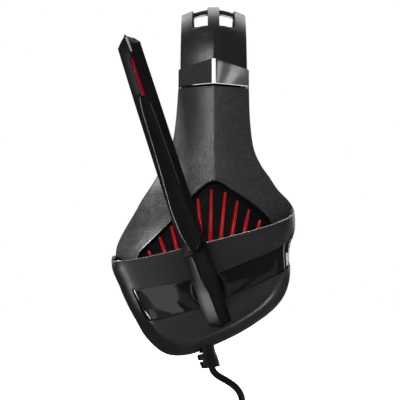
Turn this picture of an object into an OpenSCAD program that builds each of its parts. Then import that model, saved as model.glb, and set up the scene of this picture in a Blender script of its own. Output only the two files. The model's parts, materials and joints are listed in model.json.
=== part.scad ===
// Over-ear gaming headset: a sprung headband with see-through crown, two sliding arms,
// two tilting ear cups and a swivelling boom microphone on the left cup.
// +Z is up, the wearer faces -X, the left cup is at -Y. The origin is the middle of the
// head at ear height. Left-hand pieces are modelled, and right-hand ones are their mirror.

/* [Headband] */
// Radius of the band's outer crest
band_radius = 73; // [70:0.5:77]
// Height of the band arc's centre above the ears
band_centre_z = 82; // [78:1:88]
// Lean of the straight arms from vertical
arm_lean = 14; // [12:0.5:16]
// Width of the band from front to back
band_w = 39; // [37:0.5:43]
// Fall of the band's outer face from its crest to its edges
band_drop = 5; // [3:0.5:6]
// Depth of the band's channel below its crest
band_depth = 12; // [11.5:0.25:13]
// Wall of the band shell
band_wall = 2.6; // [2:0.1:2.8]
// Width of the rib between the front and back crown slots
crown_rib_w = 7; // [5:0.5:9]
// Width of each rail beside the crown slots
rail_w = 6.5; // [5:0.5:8]
// Length of the solid crown between the left and right slots
crossbar_l = 9; // [6:1:16]
// Angle from the crown at which the slots end
slot_angle = 39; // [34:1:44]
// Thickness of the band liner
liner_t = 2.4; // [2:0.1:3]
// Thickness of the head pad
pad_t = 10.5; // [8:0.5:13]
// Width of the head pad
pad_w = 36; // [32:1:37]
// Angle from the crown at which the head pad ends
pad_angle = 52; // [45:1:56]
// Width of the spring strip
spring_w = 14; // [10:1:18]
// Thickness of the spring strip
spring_t = 0.7; // [0.5:0.1:0.9]

/* [Rings] */
// Angle from the crown of the ring's upper edge at its crest
ring_top_angle = 61.2; // [59:0.2:64]
// Angle from the crown of the ring's upper edge at its sides
ring_side_angle = 65; // [62:0.2:68]
// Angle from the crown of the ring's lower edge
ring_low_angle = 74.2; // [73.6:0.1:74.4]
// Thickness of the ring's skin
ring_t = 1; // [0.8:0.1:1.6]

/* [Sliders] */
// Travel of each arm out of the band
slide_travel = 18; // [10:1:20]
// Width of the slider strip
slider_w = 13; // [11:0.5:13.5]
// Thickness of the slider strip
slider_t = 1.2; // [1:0.1:1.4]
// Depth of the slider strip's middle below the arm's crest
slider_depth = 9.6; // [9.4:0.1:9.8]
// Clearance of the slider strip in its guide
slide_gap = 0.1; // [0.05:0.01:0.2]
// Length of the guide inside the band
guide_l = 18.5; // [16:0.5:19]

/* [Arms] */
// Width of the arm where it meets the ring
neck_w = 41; // [40:0.5:44]
// Wall of the arm shell
arm_wall = 2.4; // [1.8:0.1:2.6]
// Gap between the ring and the arm at rest
ring_gap = 0.9; // [0.6:0.1:1.5]
// Set of the arm's flared edges behind the cup's outer face
flare_set = 18.8; // [18:0.1:19.5]
// Depth of the V-shaped recess below the arm's face
recess_depth = 4; // [3.6:0.1:4.2]
// Thickness of the recess floor
bezel_t = 1.6; // [1.2:0.1:1.8]
// Thickness of the arm liner
arm_liner_t = 1.4; // [1.2:0.1:1.5]
// Radius of a light rib at its foot
rib_r = 1.2; // [1:0.1:1.3]
// Radius of a light rib at its tip
rib_tip_r = 0.7; // [0.5:0.1:0.9]

/* [Cups] */
// Width of a cup from front to back
cup_w = 108; // [106:0.5:112]
// Height of a cup
cup_h = 97; // [94:0.5:100]
// Rake of the cups, the back being higher
cup_rake = 14.4; // [12:0.2:17]
// Set of the cups forward of the headband's middle
cup_forward = 1.6; // [0:0.1:3]
// Set of the cup's outer face behind the line of the arm's crest at ear height
cup_set = 0.68; // [0:0.01:1]
// Depth of the cover from its outer face to its inner edge
cup_deep = 27; // [26:0.1:27.5]
// Depth over which the cover's face turns into its side
cup_round = 16; // [12:0.5:18]
// Wall of the cup cover
cup_wall = 2.4; // [1.8:0.1:2.6]
// Height of the belt's upper edge on the cup's face
belt_top = 11.7; // [11:0.1:13]
// Set of the can's floor behind the cup's outer face
can_set = 23.5; // [23:0.1:24]
// Set of the tilt axis behind the cup's outer face
tilt_set = 15.5; // [15:0.1:16]
// Height of the tilt axis on the raked cup
tilt_v = 12; // [11:0.1:13]
// Radius of the tilt pins
pin_r = 2; // [1.5:0.1:2.4]
// Radial clearance of the tilt pins in the arm
pin_gap = 0.05; // [0.02:0.01:0.08]

/* [Ear cushions] */
// Thickness of the cushion at the ear
cushion_t = 17.6; // [12:0.2:21]
// Width of the ear opening
ear_w = 58; // [50:1:62]
// Height of the ear opening
ear_h = 50; // [44:1:56]

/* [Drivers] */
// Radius of the driver frame
driver_r = 25; // [20:0.5:26]
// Radius of the driver magnet
magnet_r = 10; // [7:0.5:11]

/* [Microphone] */
// Lean of the boom forward from vertical when it is folded up
boom_lean = 18; // [10:0.5:26]
// Length of the boom above its hub
boom_up = 147.5; // [130:0.5:155]
// Length of the boom below its hub
boom_down = 22; // [16:0.5:26]
// Width of the boom
boom_w = 14.2; // [12:0.2:16]
// Stand-off of the boom's inner face from the cup's outer face
boom_off = 5; // [4.9:0.1:7]
// Bend of the boom's tip towards the mouth
boom_bend = 7; // [3:0.5:10]
// Radius of the hub disc
hub_r = 9.6; // [8:0.1:11]
// Radius of the hub's spindle
spindle_r = 3; // [2:0.1:4]
// Radial clearance of the spindle in its socket
spindle_gap = 0.05; // [0.02:0.01:0.08]

/* [Cord] */
// Set of the cord's exit behind the cup's outer face
cord_set = 15; // [14.5:0.1:15.5]
// Diameter of the cord
cord_d = 4; // [3:0.1:5]
// Mean radius of the stored coil
coil_r = 23; // [20:0.5:28]
// Radius of the bundle of turns
bundle_r = 8.6; // [7:0.1:10]
// Radius of the jack pin
jack_r = 1.75; // [1.25:0.25:3.15]
// Length of the jack pin
jack_l = 14; // [11:0.5:15]

/* [Hidden] */
$fn = 48;

// Gap between pieces of one body that lie against each other
seat = 0.1;
// Gap between pieces that move past each other
free = 0.3;

// ---- Curves and grids ----

function mix(a, b, t) = a + (b - a) * t;
function spline_at(p0, p1, p2, p3, t) =
    0.5 * (2 * p1 + (p2 - p0) * t + (2 * p0 - 5 * p1 + 4 * p2 - p3) * t * t
        + (3 * p1 - p0 - 3 * p2 + p3) * t * t * t);
// Smooth closed curve through the points, with so many steps from each to the next
function closed_curve(p, steps) = let (n = len(p))
    [for (i = [0:n - 1]) for (j = [0:steps - 1])
        spline_at(p[(i + n - 1) % n], p[i], p[(i + 1) % n], p[(i + 2) % n], j / steps)];
// Smooth open curve through the points
function open_curve(p, steps) = let (n = len(p) - 1)
    concat([for (i = [0:n - 1]) for (j = [0:steps - 1])
        spline_at(p[max(i - 1, 0)], p[i], p[i + 1], p[min(i + 2, n)], j / steps)], [p[n]]);
function span(a, b, n) = [for (i = [0:n]) mix(a, b, i / n)];

// Faces of a grid of rows and columns, front side out
function grid_faces(rows, cols, first, flip) =
    [for (i = [0:rows - 2]) for (j = [0:cols - 2])
        let (a = first + i * cols + j, b = a + 1, c = b + cols, d = a + cols)
            for (f = flip ? [[a, c, b], [a, d, c]] : [[a, b, c], [a, c, d]]) f];
// One strip of faces between two equally long runs of points
function strip_faces(p, q) = [for (j = [0:len(p) - 2])
    for (f = [[p[j], q[j], q[j + 1]], [p[j], q[j + 1], p[j + 1]]]) f];

// Closed solid between a front grid and a back grid of the same size.
// Seen from the front, rows run down and columns run to the right.
module slab(front, back) {
    rows = len(front);
    cols = len(front[0]);
    n = rows * cols;
    top = [for (j = [0:cols - 1]) j];
    low = [for (j = [0:cols - 1]) (rows - 1) * cols + j];
    near = [for (i = [0:rows - 1]) i * cols];
    far = [for (i = [0:rows - 1]) i * cols + cols - 1];
    function behind(v) = [for (k = v) k + n];
    polyhedron(
        points = concat([for (r = front) for (p = r) p], [for (r = back) for (p = r) p]),
        faces = concat(grid_faces(rows, cols, 0, false), grid_faces(rows, cols, n, true),
            strip_faces(top, behind(top)), strip_faces(behind(low), low),
            strip_faces(behind(near), near), strip_faces(far, behind(far))),
        convexity = 8);
}

// Closed solid through a row of closed sections, each with the same number of points
module loft(sections) {
    m = len(sections);
    n = len(sections[0]);
    polyhedron(
        points = [for (s = sections) for (p = s) p],
        faces = concat([[for (j = [0:n - 1]) j]], [[for (j = [n - 1:-1:0]) (m - 1) * n + j]],
            [for (i = [0:m - 2]) for (j = [0:n - 1])
                let (a = i * n + j, b = i * n + (j + 1) % n)
                    for (f = [[a, a + n, b + n], [a, b + n, b]]) f]),
        convexity = 8);
}

// ---- Headband path ----

// Where the arc becomes the straight arm
tangent_angle = 90 - arm_lean;
tangent_y = band_radius * sin(tangent_angle);
tangent_z = band_centre_z + band_radius * cos(tangent_angle);

// Distances of the cups' faces and axes from the middle plane, which follow the arm's crest
ear_crest_y = tangent_y + tangent_z * tan(arm_lean);
cup_face_y = ear_crest_y - cup_set;
cup_rim_y = cup_face_y - cup_deep;
can_floor_y = cup_face_y - can_set;
tilt_y = cup_face_y - tilt_set;
flare_y = cup_face_y - flare_set;
boom_y = cup_face_y + boom_off;
cord_y = cup_face_y - cord_set;

// Point at an angle from the crown, positive to the left, a height above the crest
function band_point(x, angle, height) =
    [x, -(band_radius + height) * sin(angle), band_centre_z + (band_radius + height) * cos(angle)];
// Height of the band's outer face beside its crest
function band_face(x) = let (flat = crown_rib_w / 2)
    abs(x) < flat ? 0 : -band_drop * pow((abs(x) - flat) / (band_w / 2 - flat), 1.5);

// Solid of one section swept along the band; the section is listed anticlockwise
module band_sweep(section, from, to, steps) {
    loft([for (a = span(from, to, steps)) [for (p = section) band_point(p[0], a, p[1])]]);
}

half_band = band_w / 2;
inner_band = half_band - 3.2;
// The rims of the channel's walls ease off inwards
edge_ease = 0.3;
channel_section = concat(
    [for (x = span(half_band, -half_band, 14)) [x, band_face(x)]],
    [[-half_band + 0.6, -band_depth], [-inner_band, -band_depth + edge_ease]],
    [for (x = span(-inner_band, inner_band, 6)) [x, band_face(x) - band_wall]],
    [[inner_band, -band_depth + edge_ease], [half_band - 0.6, -band_depth]]);

// Straight-sided cutter for one slot, from the crossbar to the slot's end
module slot_cutter() {
    slot_in = crown_rib_w / 2;
    slot_out = half_band - rail_w;
    low = band_centre_z + (band_radius - band_depth) * cos(slot_angle);
    end_y = band_radius * sin(slot_angle);
    translate([slot_in, -end_y, low])
        cube([slot_out - slot_in, end_y - crossbar_l / 2, band_radius]);
}

band_end_angle = ring_low_angle - 0.6;
module band_shell() {
    color("dimgray") difference() {
        band_sweep(channel_section, -band_end_angle, band_end_angle, 44);
        for (mx = [0, 1]) for (my = [0, 1])
            mirror([mx, 0, 0]) mirror([0, my, 0]) slot_cutter();
    }
}

liner_top = -band_depth - seat;
liner_half = half_band - 0.6;
liner_end = 60;
module band_liner() {
    color("black") band_sweep(
        [[liner_half, liner_top], [-liner_half, liner_top], [-liner_half, liner_top - liner_t],
            [liner_half, liner_top - liner_t]], -liner_end, liner_end, 34);
}

pad_top = liner_top - liner_t - seat;
pad_corner = 4;
module band_pad() {
    // The lower corners are quarter ellipses, and the ends thin out
    function pad_section(thick) = let (h = pad_w / 2, drop = min(thick - 0.5, pad_corner))
        concat([[h, pad_top], [-h, pad_top]],
            [for (a = [0:30:90]) [-h + pad_corner * (1 - cos(a)), pad_top - thick + drop * (1 - sin(a))]],
            [for (a = [90:-30:0]) [h - pad_corner * (1 - cos(a)), pad_top - thick + drop * (1 - sin(a))]]);
    color("#202020") loft([for (a = span(-pad_angle, pad_angle, 30))
        let (thick = max(1.2, pad_t * pow(1 - pow(abs(a) / pad_angle, 6), 0.5)))
            [for (p = pad_section(thick)) band_point(p[0], a, p[1])]]);
}

spring_low = -band_depth;
spring_end = 58;
module band_spring() {
    h = spring_w / 2;
    color("silver") band_sweep([[h, spring_low + spring_t], [-h, spring_low + spring_t],
        [-h, spring_low], [h, spring_low]], -spring_end, spring_end, 30);
}

wire_r = 0.8;
module band_wire() {
    x = inner_band - wire_r - seat - 0.4;
    height = -band_depth + wire_r;
    color("red") band_sweep([for (a = [0:45:315]) [x + wire_r * cos(a), height + wire_r * sin(a)]],
        -spring_end, spring_end, 24);
}

// ---- Rings ----

module ring() {
    reach = half_band + ring_t;
    function top_angle(x) = mix(ring_top_angle, ring_side_angle, abs(x) / reach);
    function skin(lift) = concat(
        [[-half_band - lift, -band_depth + 1]],
        [for (x = span(-half_band, half_band, 14)) [x * (half_band + lift) / half_band, band_face(x) + lift]],
        [[half_band + lift, -band_depth + 1]]);
    outer = skin(ring_t);
    inner = skin(seat);
    function row(points, t) = [for (p = points)
        band_point(p[0], mix(top_angle(p[0]), ring_low_angle, t), p[1])];
    color("lightgray") slab([for (t = span(0, 1, 4)) row(outer, t)], [for (t = span(0, 1, 4)) row(inner, t)]);
}

// ---- Arm frame: x, depth below the crest, height above the tangent point ----

module arm_frame() {
    translate([0, -tangent_y, tangent_z]) rotate([-arm_lean, 0, 0]) children();
}
// Box in the arm frame, between depths and between distances down the arm
module arm_box(x0, x1, deep0, deep1, down0, down1) {
    translate([x0, deep0, -down1]) cube([x1 - x0, deep1 - deep0, down1 - down0]);
}

guide_wall = 1.3;
guide_low = 1.6;
cap_deep = [10.4, 11.9];
cap_half = 15.8;
// Screws that pass through posts on the guides into the wall of the band shell
band_screw_x = 11.8;
band_screw_up = guide_low + guide_l / 2;
band_screw_r = 1.2;
band_post_r = 2.3;
band_post_top = 6.6;
band_screw_top = 4.6;
module at_band_screws(deep) {
    arm_frame() for (x = [-band_screw_x, band_screw_x])
        translate([x, deep, band_screw_up]) rotate([-90, 0, 0]) children();
}
module guide() {
    w = slider_w / 2 + slide_gap;
    t = slider_t / 2 + slide_gap;
    color("black") difference() {
        union() {
            arm_frame() arm_box(-w - guide_wall, w + guide_wall, slider_depth - t - guide_wall,
                slider_depth + t + guide_wall, -guide_low - guide_l, -guide_low);
            arm_frame()
                arm_box(-cap_half, cap_half, cap_deep[0], cap_deep[1], -guide_low - guide_l, -guide_low);
            at_band_screws(band_post_top) cylinder(h = cap_deep[1] - band_post_top, r = band_post_r);
        }
        arm_frame()
            arm_box(-w, w, slider_depth - t, slider_depth + t, -guide_low - guide_l - 1, -guide_low + 1);
        at_band_screws(band_post_top - 1)
            cylinder(h = cap_deep[1] - band_post_top + 2, r = band_screw_r + seat);
    }
}
module band_screws() {
    color("silver") for (side = [0, 1]) mirror([0, side, 0]) {
        at_band_screws(band_screw_top) cylinder(h = cap_deep[1] - band_screw_top, r = band_screw_r);
        at_band_screws(cap_deep[1]) cylinder(h = 1, r = 2 * band_screw_r);
    }
}

slider_low = 26;
slider_stay = 8;
peg_r = 1.8;
peg_down = [8, 18];
module slider() {
    up = slide_travel + slider_stay;
    color("silver") arm_frame() difference() {
        arm_box(-slider_w / 2, slider_w / 2, slider_depth - slider_t / 2,
            slider_depth + slider_t / 2, -up, slider_low);
        for (d = peg_down) translate([0, 0, -d]) rotate([-90, 0, 0]) cylinder(h = 20, r = peg_r + seat);
    }
}

// ---- Raked cup frame: u backwards, v up ----

module cup_frame() {
    translate([-cup_forward, 0, 0]) rotate([0, -cup_rake, 0]) children();
}
function to_xz(u, v) = [u * cos(cup_rake) - v * sin(cup_rake) - cup_forward,
    u * sin(cup_rake) + v * cos(cup_rake)];
// Height above the ears of the line along the cup at v
function line_z(x, v) = (v + (x + cup_forward) * sin(cup_rake)) / cos(cup_rake);

// Shape of a cup's rim as shares of its half width and half height
cup_shape = [[-1, 0.24], [-0.995, -0.06], [-0.94, -0.38], [-0.865, -0.68], [-0.71, -0.92], [-0.48, -1],
    [-0.2, -0.97], [0.12, -0.9], [0.42, -0.785], [0.62, -0.65], [0.74, -0.48], [0.83, -0.24], [0.9, -0.03],
    [0.97, 0.14], [1, 0.36], [0.93, 0.6], [0.72, 0.84], [0.38, 0.97], [0, 1], [-0.3, 0.93],
    [-0.58, 0.79], [-0.79, 0.585], [-0.93, 0.41]];
cup_outline = [for (p = closed_curve(cup_shape, 2)) [p[0] * cup_w / 2, p[1] * cup_h / 2]];
// Distance from the cup's middle to its rim at each angle
rim_table = let (n = len(cup_outline),
    bare = [for (p = cup_outline) let (a = atan2(p[1], p[0])) [a < 0 ? a + 360 : a, norm(p)]],
    first = [for (i = [0:n - 1]) if (bare[i][0] > bare[(i + 1) % n][0]) (i + 1) % n][0],
    turned = [for (i = [0:n - 1]) bare[(first + i) % n]])
    concat([[turned[n - 1][0] - 360, turned[n - 1][1]]], turned, [[turned[0][0] + 360, turned[0][1]]]);
function rim_r(u, v) = let (a = atan2(v, u)) lookup(a < 0 ? a + 360 : a, rim_table);
function rim_share(u, v) = min(1, norm([u, v]) / rim_r(u, v));
// Distance of the cup's outer face from the middle plane
face_power = 3.5;
function cup_face(u, v) = let (k = rim_share(u, v))
    cup_face_y - cup_round * (1 - pow(max(0, 1 - pow(k, face_power)), 1 / face_power));

function shrunk(by) = [for (p = cup_outline) p * (1 - by / (cup_w / 2))];
// Plate with the cup's own outline, a margin inside its rim, between two distances
module cup_plate(y0, y1, margin) {
    translate([0, -y0, 0]) rotate([90, 0, 0]) linear_extrude(y1 - y0) polygon(shrunk(margin));
}
module cup_rod(y0, y1, r, u = 0, v = 0) {
    translate([u, -y0, v]) rotate([90, 0, 0]) cylinder(h = y1 - y0, r = r);
}

// ---- Arm shell ----

function crest_y(z) = tangent_y + (tangent_z - z) * tan(arm_lean);
half_neck = neck_w / 2;
neck_drop = band_drop + 0.5;
arm_top_z = band_centre_z + band_radius * cos(ring_low_angle) - ring_gap;
// Room between the arm's edges and the inside of the belt
flare_gap = 2;
flare_front = cup_w / 2 + cup_forward - flare_gap;
flare_back = cup_w / 2 - cup_forward - cup_wall - 5.8;
belt_slope = 0.3;
belt_side_v = belt_top + belt_slope * (cup_face_y - flare_y);
flare_front_z = line_z(-flare_front, belt_side_v);
flare_back_z = line_z(flare_back, belt_side_v);
// Widening of the arm's two edges: share of the way down, share of the widening
front_flare = open_curve([[0, 0], [0.2, 0.04], [0.36, 0.11], [0.47, 0.25], [0.57, 0.44], [0.68, 0.65],
    [0.78, 0.82], [0.9, 0.95], [1, 1], [1.3, 1]], 4);
back_flare = open_curve([[0, 0], [0.27, 0.02], [0.5, 0.1], [0.64, 0.27], [0.74, 0.48], [0.84, 0.68],
    [0.93, 0.9], [1, 0.99], [1.06, 0.97], [1.5, 0.93]], 4);
function arm_half(side, z) = side < 0
    ? mix(half_neck, flare_front, lookup((arm_top_z - z) / (arm_top_z - flare_front_z), front_flare))
    : mix(half_neck, flare_back, lookup((arm_top_z - z) / (arm_top_z - flare_back_z), back_flare));
// Distance of the flared edges and of the folded rim behind them
function edge_y(z) = min(flare_y, crest_y(z) - neck_drop);
rim_fold = 10.9;
rim_low_z = 52;
rim_high_z = 76;
rim_y_low = flare_y - 0.6;
function rim_y(z) = let (t = (z - rim_low_z) / (rim_high_z - rim_low_z))
    z < rim_low_z ? rim_y_low
    : z > rim_high_z ? crest_y(z) - rim_fold
    : mix(rim_y_low, crest_y(rim_high_z) - rim_fold, t);
// The face is creased at the neck and round where it flares
function face_bow(z) = mix(3, 1.3, max(0, min(1, (z - 20) / 60)));
function arm_face(x, z) = crest_y(z)
    - (crest_y(z) - edge_y(z)) * pow(min(1, abs(x) / arm_half(x, z)), face_bow(z));

// Upper edge of the recess, from its front end over its apex to its back end
recess_edge = open_curve([[-42.3, 5.5], [-21.3, 26.4], [-11.3, 38.6], [0, 46.1], [11.8, 40.4], [24.3, 32.2],
    [32.6, 24.3]], 4);
recess_n = len(recess_edge) - 1;
// Lower edge of the arm's face: front flare, recess, back flare
flare_cols = 4;
low_edge = concat(
    [for (t = span(0, 1, flare_cols)) if (t < 1)
        [mix(-arm_half(-1, flare_front_z - 4), recess_edge[0][0], t),
            mix(flare_front_z - 4, recess_edge[0][1], t)]],
    recess_edge,
    [for (t = span(0, 1, flare_cols)) if (t > 0)
        [mix(recess_edge[recess_n][0], arm_half(1, flare_back_z - 6), t), mix(recess_edge[recess_n][1],
            flare_back_z - 6, t)]]);
arm_rows = 15;
// Points of the arm's face in x and z, rows running down
arm_places = let (n = len(low_edge) - 1)
    [for (i = [0:arm_rows]) let (t = i / arm_rows)
        [for (j = [0:n])
            let (high = -1 + 2 * j / n,
                foot = low_edge[j],
                z = mix(arm_top_z - neck_drop * sin(arm_lean) * pow(abs(high), 1.3), foot[1], t),
                share = mix(high, foot[0] / arm_half(foot[0], foot[1]), t))
                [share * arm_half(share, z), z]]];
arm_edge_t = 0.4;
function inner_face(x, z) = max(arm_face(x, z) - arm_wall, rim_y(z) + arm_edge_t);
function narrowed(x, z) = x * (1 - arm_wall / arm_half(x, z));
// The folded rim drops at the neck, square to the band
function fold_z(z) = z - (edge_y(z) - rim_y(z)) * tan(arm_lean)
    * max(0, min(1, (z - rim_low_z) / (rim_high_z - rim_low_z)));
rim_share_x = 0.995;
// Rows with one more point at each end, folded towards the head
function folded(rows) = [for (r = rows) let (a = r[0], b = r[len(r) - 1])
    concat([[a[0] * rim_share_x, -rim_y(a[2]), fold_z(a[2])]], r,
        [[b[0] * rim_share_x, -rim_y(b[2]), fold_z(b[2])]])];

module arm_shell() {
    outer = [for (r = arm_places) [for (p = r) [p[0], -arm_face(p[0], p[1]), p[1]]]];
    inner = [for (r = arm_places) [for (p = r) [narrowed(p[0], p[1]), -inner_face(p[0], p[1]), p[1]]]];
    color("#303030") slab(folded(outer), folded(inner));
}

// ---- Recess floor and its light ribs ----

function arm_down(z, deep) = (tangent_z - z - deep * sin(arm_lean)) / cos(arm_lean);
bezel_tuck = 1.5;
bezel_foot_v = belt_top - 6;
function bezel_face(x, z) = arm_face(x, z) - recess_depth;
module rib_bezel() {
    // Each column runs from under the recess edge down behind the belt
    places = [for (t = span(0, 1, 5))
        [for (p = recess_edge) [p[0], mix(p[1] + bezel_tuck, line_z(p[0], bezel_foot_v), t)]]];
    color("black") slab(
        [for (r = places) [for (p = r) [p[0], -bezel_face(p[0], p[1]), p[1]]]],
        [for (r = places) [for (p = r) [p[0], -bezel_face(p[0], p[1]) + bezel_t, p[1]]]]);
}

// Feet of the ribs along the belt, and their lengths from front to back
rib_x = [-35, -27, -20.2, -13.3, -6.7, -1.9, 3.9, 10.1, 16.9, 24.6];
rib_l = [3.2, 9.2, 13.7, 19.5, 25.2, 29, 26, 19.8, 13, 5.3];
rib_lean = [-24, -20, -14.5, -9.5, -4.8, 1, 5.4, 9, 12.3, 15.5];
rib_sunk = 1.5;
rib_seat = 0.2;
module light_ribs() {
    // Each rib lies on the recess floor and passes behind the belt's edge
    function on_floor(x, z, r) = [x, -bezel_face(x, z) - r - rib_seat, z];
    color("red") for (i = [0:len(rib_x) - 1]) {
        z = line_z(rib_x[i], belt_top - rib_sunk);
        l = rib_l[i] + rib_sunk;
        foot = on_floor(rib_x[i], z, rib_r);
        tip = on_floor(rib_x[i] + l * sin(rib_lean[i]), z + l * cos(rib_lean[i]), rib_tip_r);
        way = tip - foot;
        translate(foot) rotate([0, acos(way[2] / norm(way)), atan2(way[1], way[0])]) {
            cylinder(h = norm(way), r1 = rib_r, r2 = rib_tip_r, $fn = 24);
            translate([0, 0, norm(way)]) sphere(r = rib_tip_r, $fn = 24);
        }
    }
}

// ---- Arm liner, light board and tilt pins ----

upper_plate = [slider_depth + slider_t / 2 + seat, slider_depth + slider_t / 2 + seat + arm_liner_t];
lower_plate = [7.9, 7.9 + arm_liner_t];
crank_down = [27, 30];
// The lower plate fills the arm above the recess and stays narrow behind it
liner_wide = [52, 0.84];
liner_narrow = [44, 0.48];
liner_least = 15.4;
function liner_half(side, z) = let (t = (z - liner_narrow[0]) / (liner_wide[0] - liner_narrow[0]))
    max(liner_least, mix(liner_narrow[1], liner_wide[1], max(0, min(1, t))) * arm_half(side, z));
cheek = [15.5, 20];
cheek_r = 4;
cheek_reach = 4.9;
liner_reach = 24;
liner_v = tilt_v + cheek_r + 2;
liner_foot_v = tilt_v - 6;
module arm_liner() {
    z0 = tangent_z - crank_down[1];
    low_front = line_z(-liner_reach, liner_v);
    low_back = line_z(liner_reach, liner_v);
    waist = [for (p = [[-cheek[1], liner_v + 2], [-cheek[1], liner_foot_v], [cheek[1], liner_foot_v],
        [cheek[1], liner_v + 2]]) to_xz(p[0], p[1])];
    color("#252525") difference() {
        union() {
            arm_frame() {
                arm_box(-half_neck + 2.6, half_neck - 2.6, upper_plate[0], upper_plate[1], 1, crank_down[1]);
                arm_box(-half_neck + 4, half_neck - 4, lower_plate[0], upper_plate[1],
                    crank_down[0], crank_down[1]);
                for (d = peg_down) translate([0, slider_depth - slider_t / 2, -d]) rotate([-90, 0, 0])
                    cylinder(h = slider_t + arm_liner_t, r = peg_r);
                translate([0, lower_plate[1], 0]) rotate([90, 0, 0]) linear_extrude(arm_liner_t) {
                    polygon([for (side = [-1, 1])
                        for (z = side < 0
                            ? concat(span(z0, liner_wide[0], 4), span(liner_narrow[0], low_front, 3))
                            : concat(span(low_back, liner_narrow[0], 3), span(liner_wide[0], z0, 4)))
                            [side * liner_half(side, z), -arm_down(z, lower_plate[0])]]);
                    polygon([for (p = waist) [p[0], -arm_down(p[1], lower_plate[0])]]);
                }
            }
            cup_frame() for (side = [-1, 1]) translate([side < 0 ? -cheek[1] : cheek[0], 0, 0]) {
                translate([0, -tilt_y, tilt_v]) rotate([0, 90, 0])
                    cylinder(h = cheek[1] - cheek[0], r = cheek_r);
                translate([0, -tilt_y - cheek_reach, tilt_v - cheek_r])
                    cube([cheek[1] - cheek[0], cheek_reach, 2 * cheek_r]);
            }
        }
        cup_frame() translate([-cup_w / 2, -tilt_y, tilt_v]) rotate([0, 90, 0])
            cylinder(h = cup_w, r = pin_r + pin_gap);
    }
}

board_down = [60, 77];
board_half = 15;
board_t = 1;
module light_board() {
    color("green") arm_frame() arm_box(-board_half, board_half, lower_plate[0] - free - board_t,
        lower_plate[0] - free, board_down[0], board_down[1]);
}

lug = [cheek[1] + 0.8, cheek[1] + 5.8];
module tilt_pins() {
    color("silver") cup_frame() for (side = [-1, 1])
        translate([side < 0 ? -lug[1] : cheek[0] - 1, -tilt_y, tilt_v]) rotate([0, 90, 0])
            cylinder(h = lug[1] - cheek[0] + 1, r = pin_r);
}

// ---- Cup cover and gloss panel ----

horn_inset = 1.4;
cover_cols = 36;
cover_rows = [0, 0.25, 0.5, 0.7, 0.84, 0.93, 0.98, 1];
horn_angle = atan2(belt_side_v, cup_w / 2);
function cut_v(u) = belt_top + belt_slope * (cup_face_y - cup_face(u, belt_top + 2));
cover_low = [for (a = span(180 - horn_angle, 360 + horn_angle, cover_cols))
    rim_r(cos(a), sin(a)) * [cos(a), sin(a)]];
cover_high = [for (j = [0:cover_cols])
    let (u = -(cup_w / 2 - horn_inset) * cos(180 * j / cover_cols)) [u, cut_v(u)]];
cover_inner = 1 - cup_wall / (cup_w / 2);

module cover_body() {
    places = [for (s = cover_rows) [for (j = [0:cover_cols]) mix(cover_high[j], cover_low[j], s)]];
    last = len(cover_rows) - 1;
    outer = concat([for (r = places) [for (p = r) [p[0], -cup_face(p[0], p[1]), p[1]]]],
        [[for (p = places[last]) [p[0], -cup_rim_y, p[1]]]]);
    inner = concat(
        [for (i = [0:last]) [for (p = places[i])
            [p[0] * cover_inner, -cup_face(p[0], p[1]) + cup_wall,
                p[1] * mix(1, cover_inner, cover_rows[i])]]],
        [[for (p = places[last]) [p[0] * cover_inner, -cup_rim_y, p[1] * cover_inner]]]);
    slab(outer, inner);
}

panel_sink = 0.7;
panel_t = 0.9;
panel_gap = 0.2;
// Most of the way to the rim that the panel reaches
panel_share = 0.95;
// Upper and lower edges of the panel along the cup
panel_high = [[-47, -4], [-13, -7], [6, -7.6], [44, -0.6], [46, -0.4]];
panel_low = [[-47, -21.6], [-13, -23], [6, -20.8], [38, -15.8], [46, -12.5]];
// How far the panel runs forwards and backwards
panel_ends = [-46.5, 45.5];
module panel_shape(grow, y_out, y_in) {
    us = span(panel_ends[0] - grow, panel_ends[1] + grow, 16);
    most = panel_share + grow / (cup_w / 2);
    function at(u, t, off) = let (v = mix(lookup(u, panel_high) + grow, lookup(u, panel_low) - grow, t),
        k = min(1, most / (norm([u, v]) / rim_r(u, v))))
        [u * k, -cup_face(u * k, v * k) - off, v * k];
    slab([for (t = span(0, 1, 4)) [for (u = us) at(u, t, y_out)]],
        [for (t = span(0, 1, 4)) [for (u = us) at(u, t, y_in)]]);
}

// Hub of the boom on the left cup
hub_uv = [-5.2, -13.4];
hub_xz = to_xz(hub_uv[0], hub_uv[1]);
socket_r = 5.5;
flange_r = hub_r + 0.6;
module cup_cover(has_mic) {
    color("#2a2a2a") difference() {
        cup_frame() difference() {
            cover_body();
            panel_shape(panel_gap, 3, -panel_sink - panel_t - seat);
            if (has_mic) cup_rod(cup_rim_y, cup_face_y + 5, socket_r + seat, hub_uv[0], hub_uv[1]);
        }
        if (has_mic) relief_frame() cylinder(h = relief_l, r = relief_r[0] + seat);
    }
}
module cup_panel(has_mic) {
    color("#050505") cup_frame() difference() {
        panel_shape(0, -panel_sink, -panel_sink - panel_t);
        if (has_mic) cup_rod(cup_rim_y, cup_face_y + 5, flange_r + 0.3, hub_uv[0], hub_uv[1]);
    }
}

// ---- Cup can, baffle and driver ----

can_margin = cup_wall + 0.9;
can_wall = 2;
can_floor_t = 1.5;
baffle_t = 2.5;
baffle_y = [cup_rim_y - 1.3 - baffle_t, cup_rim_y - 1.3];
can_y = baffle_y[1] + seat;
cap_r = magnet_r + 3.5;
cap_y = can_floor_y + 6;
post_r = 3.2;
cover_posts = [[-34, -22], [15, -18], [0, -29]];
board_post_r = 4.4;
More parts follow.
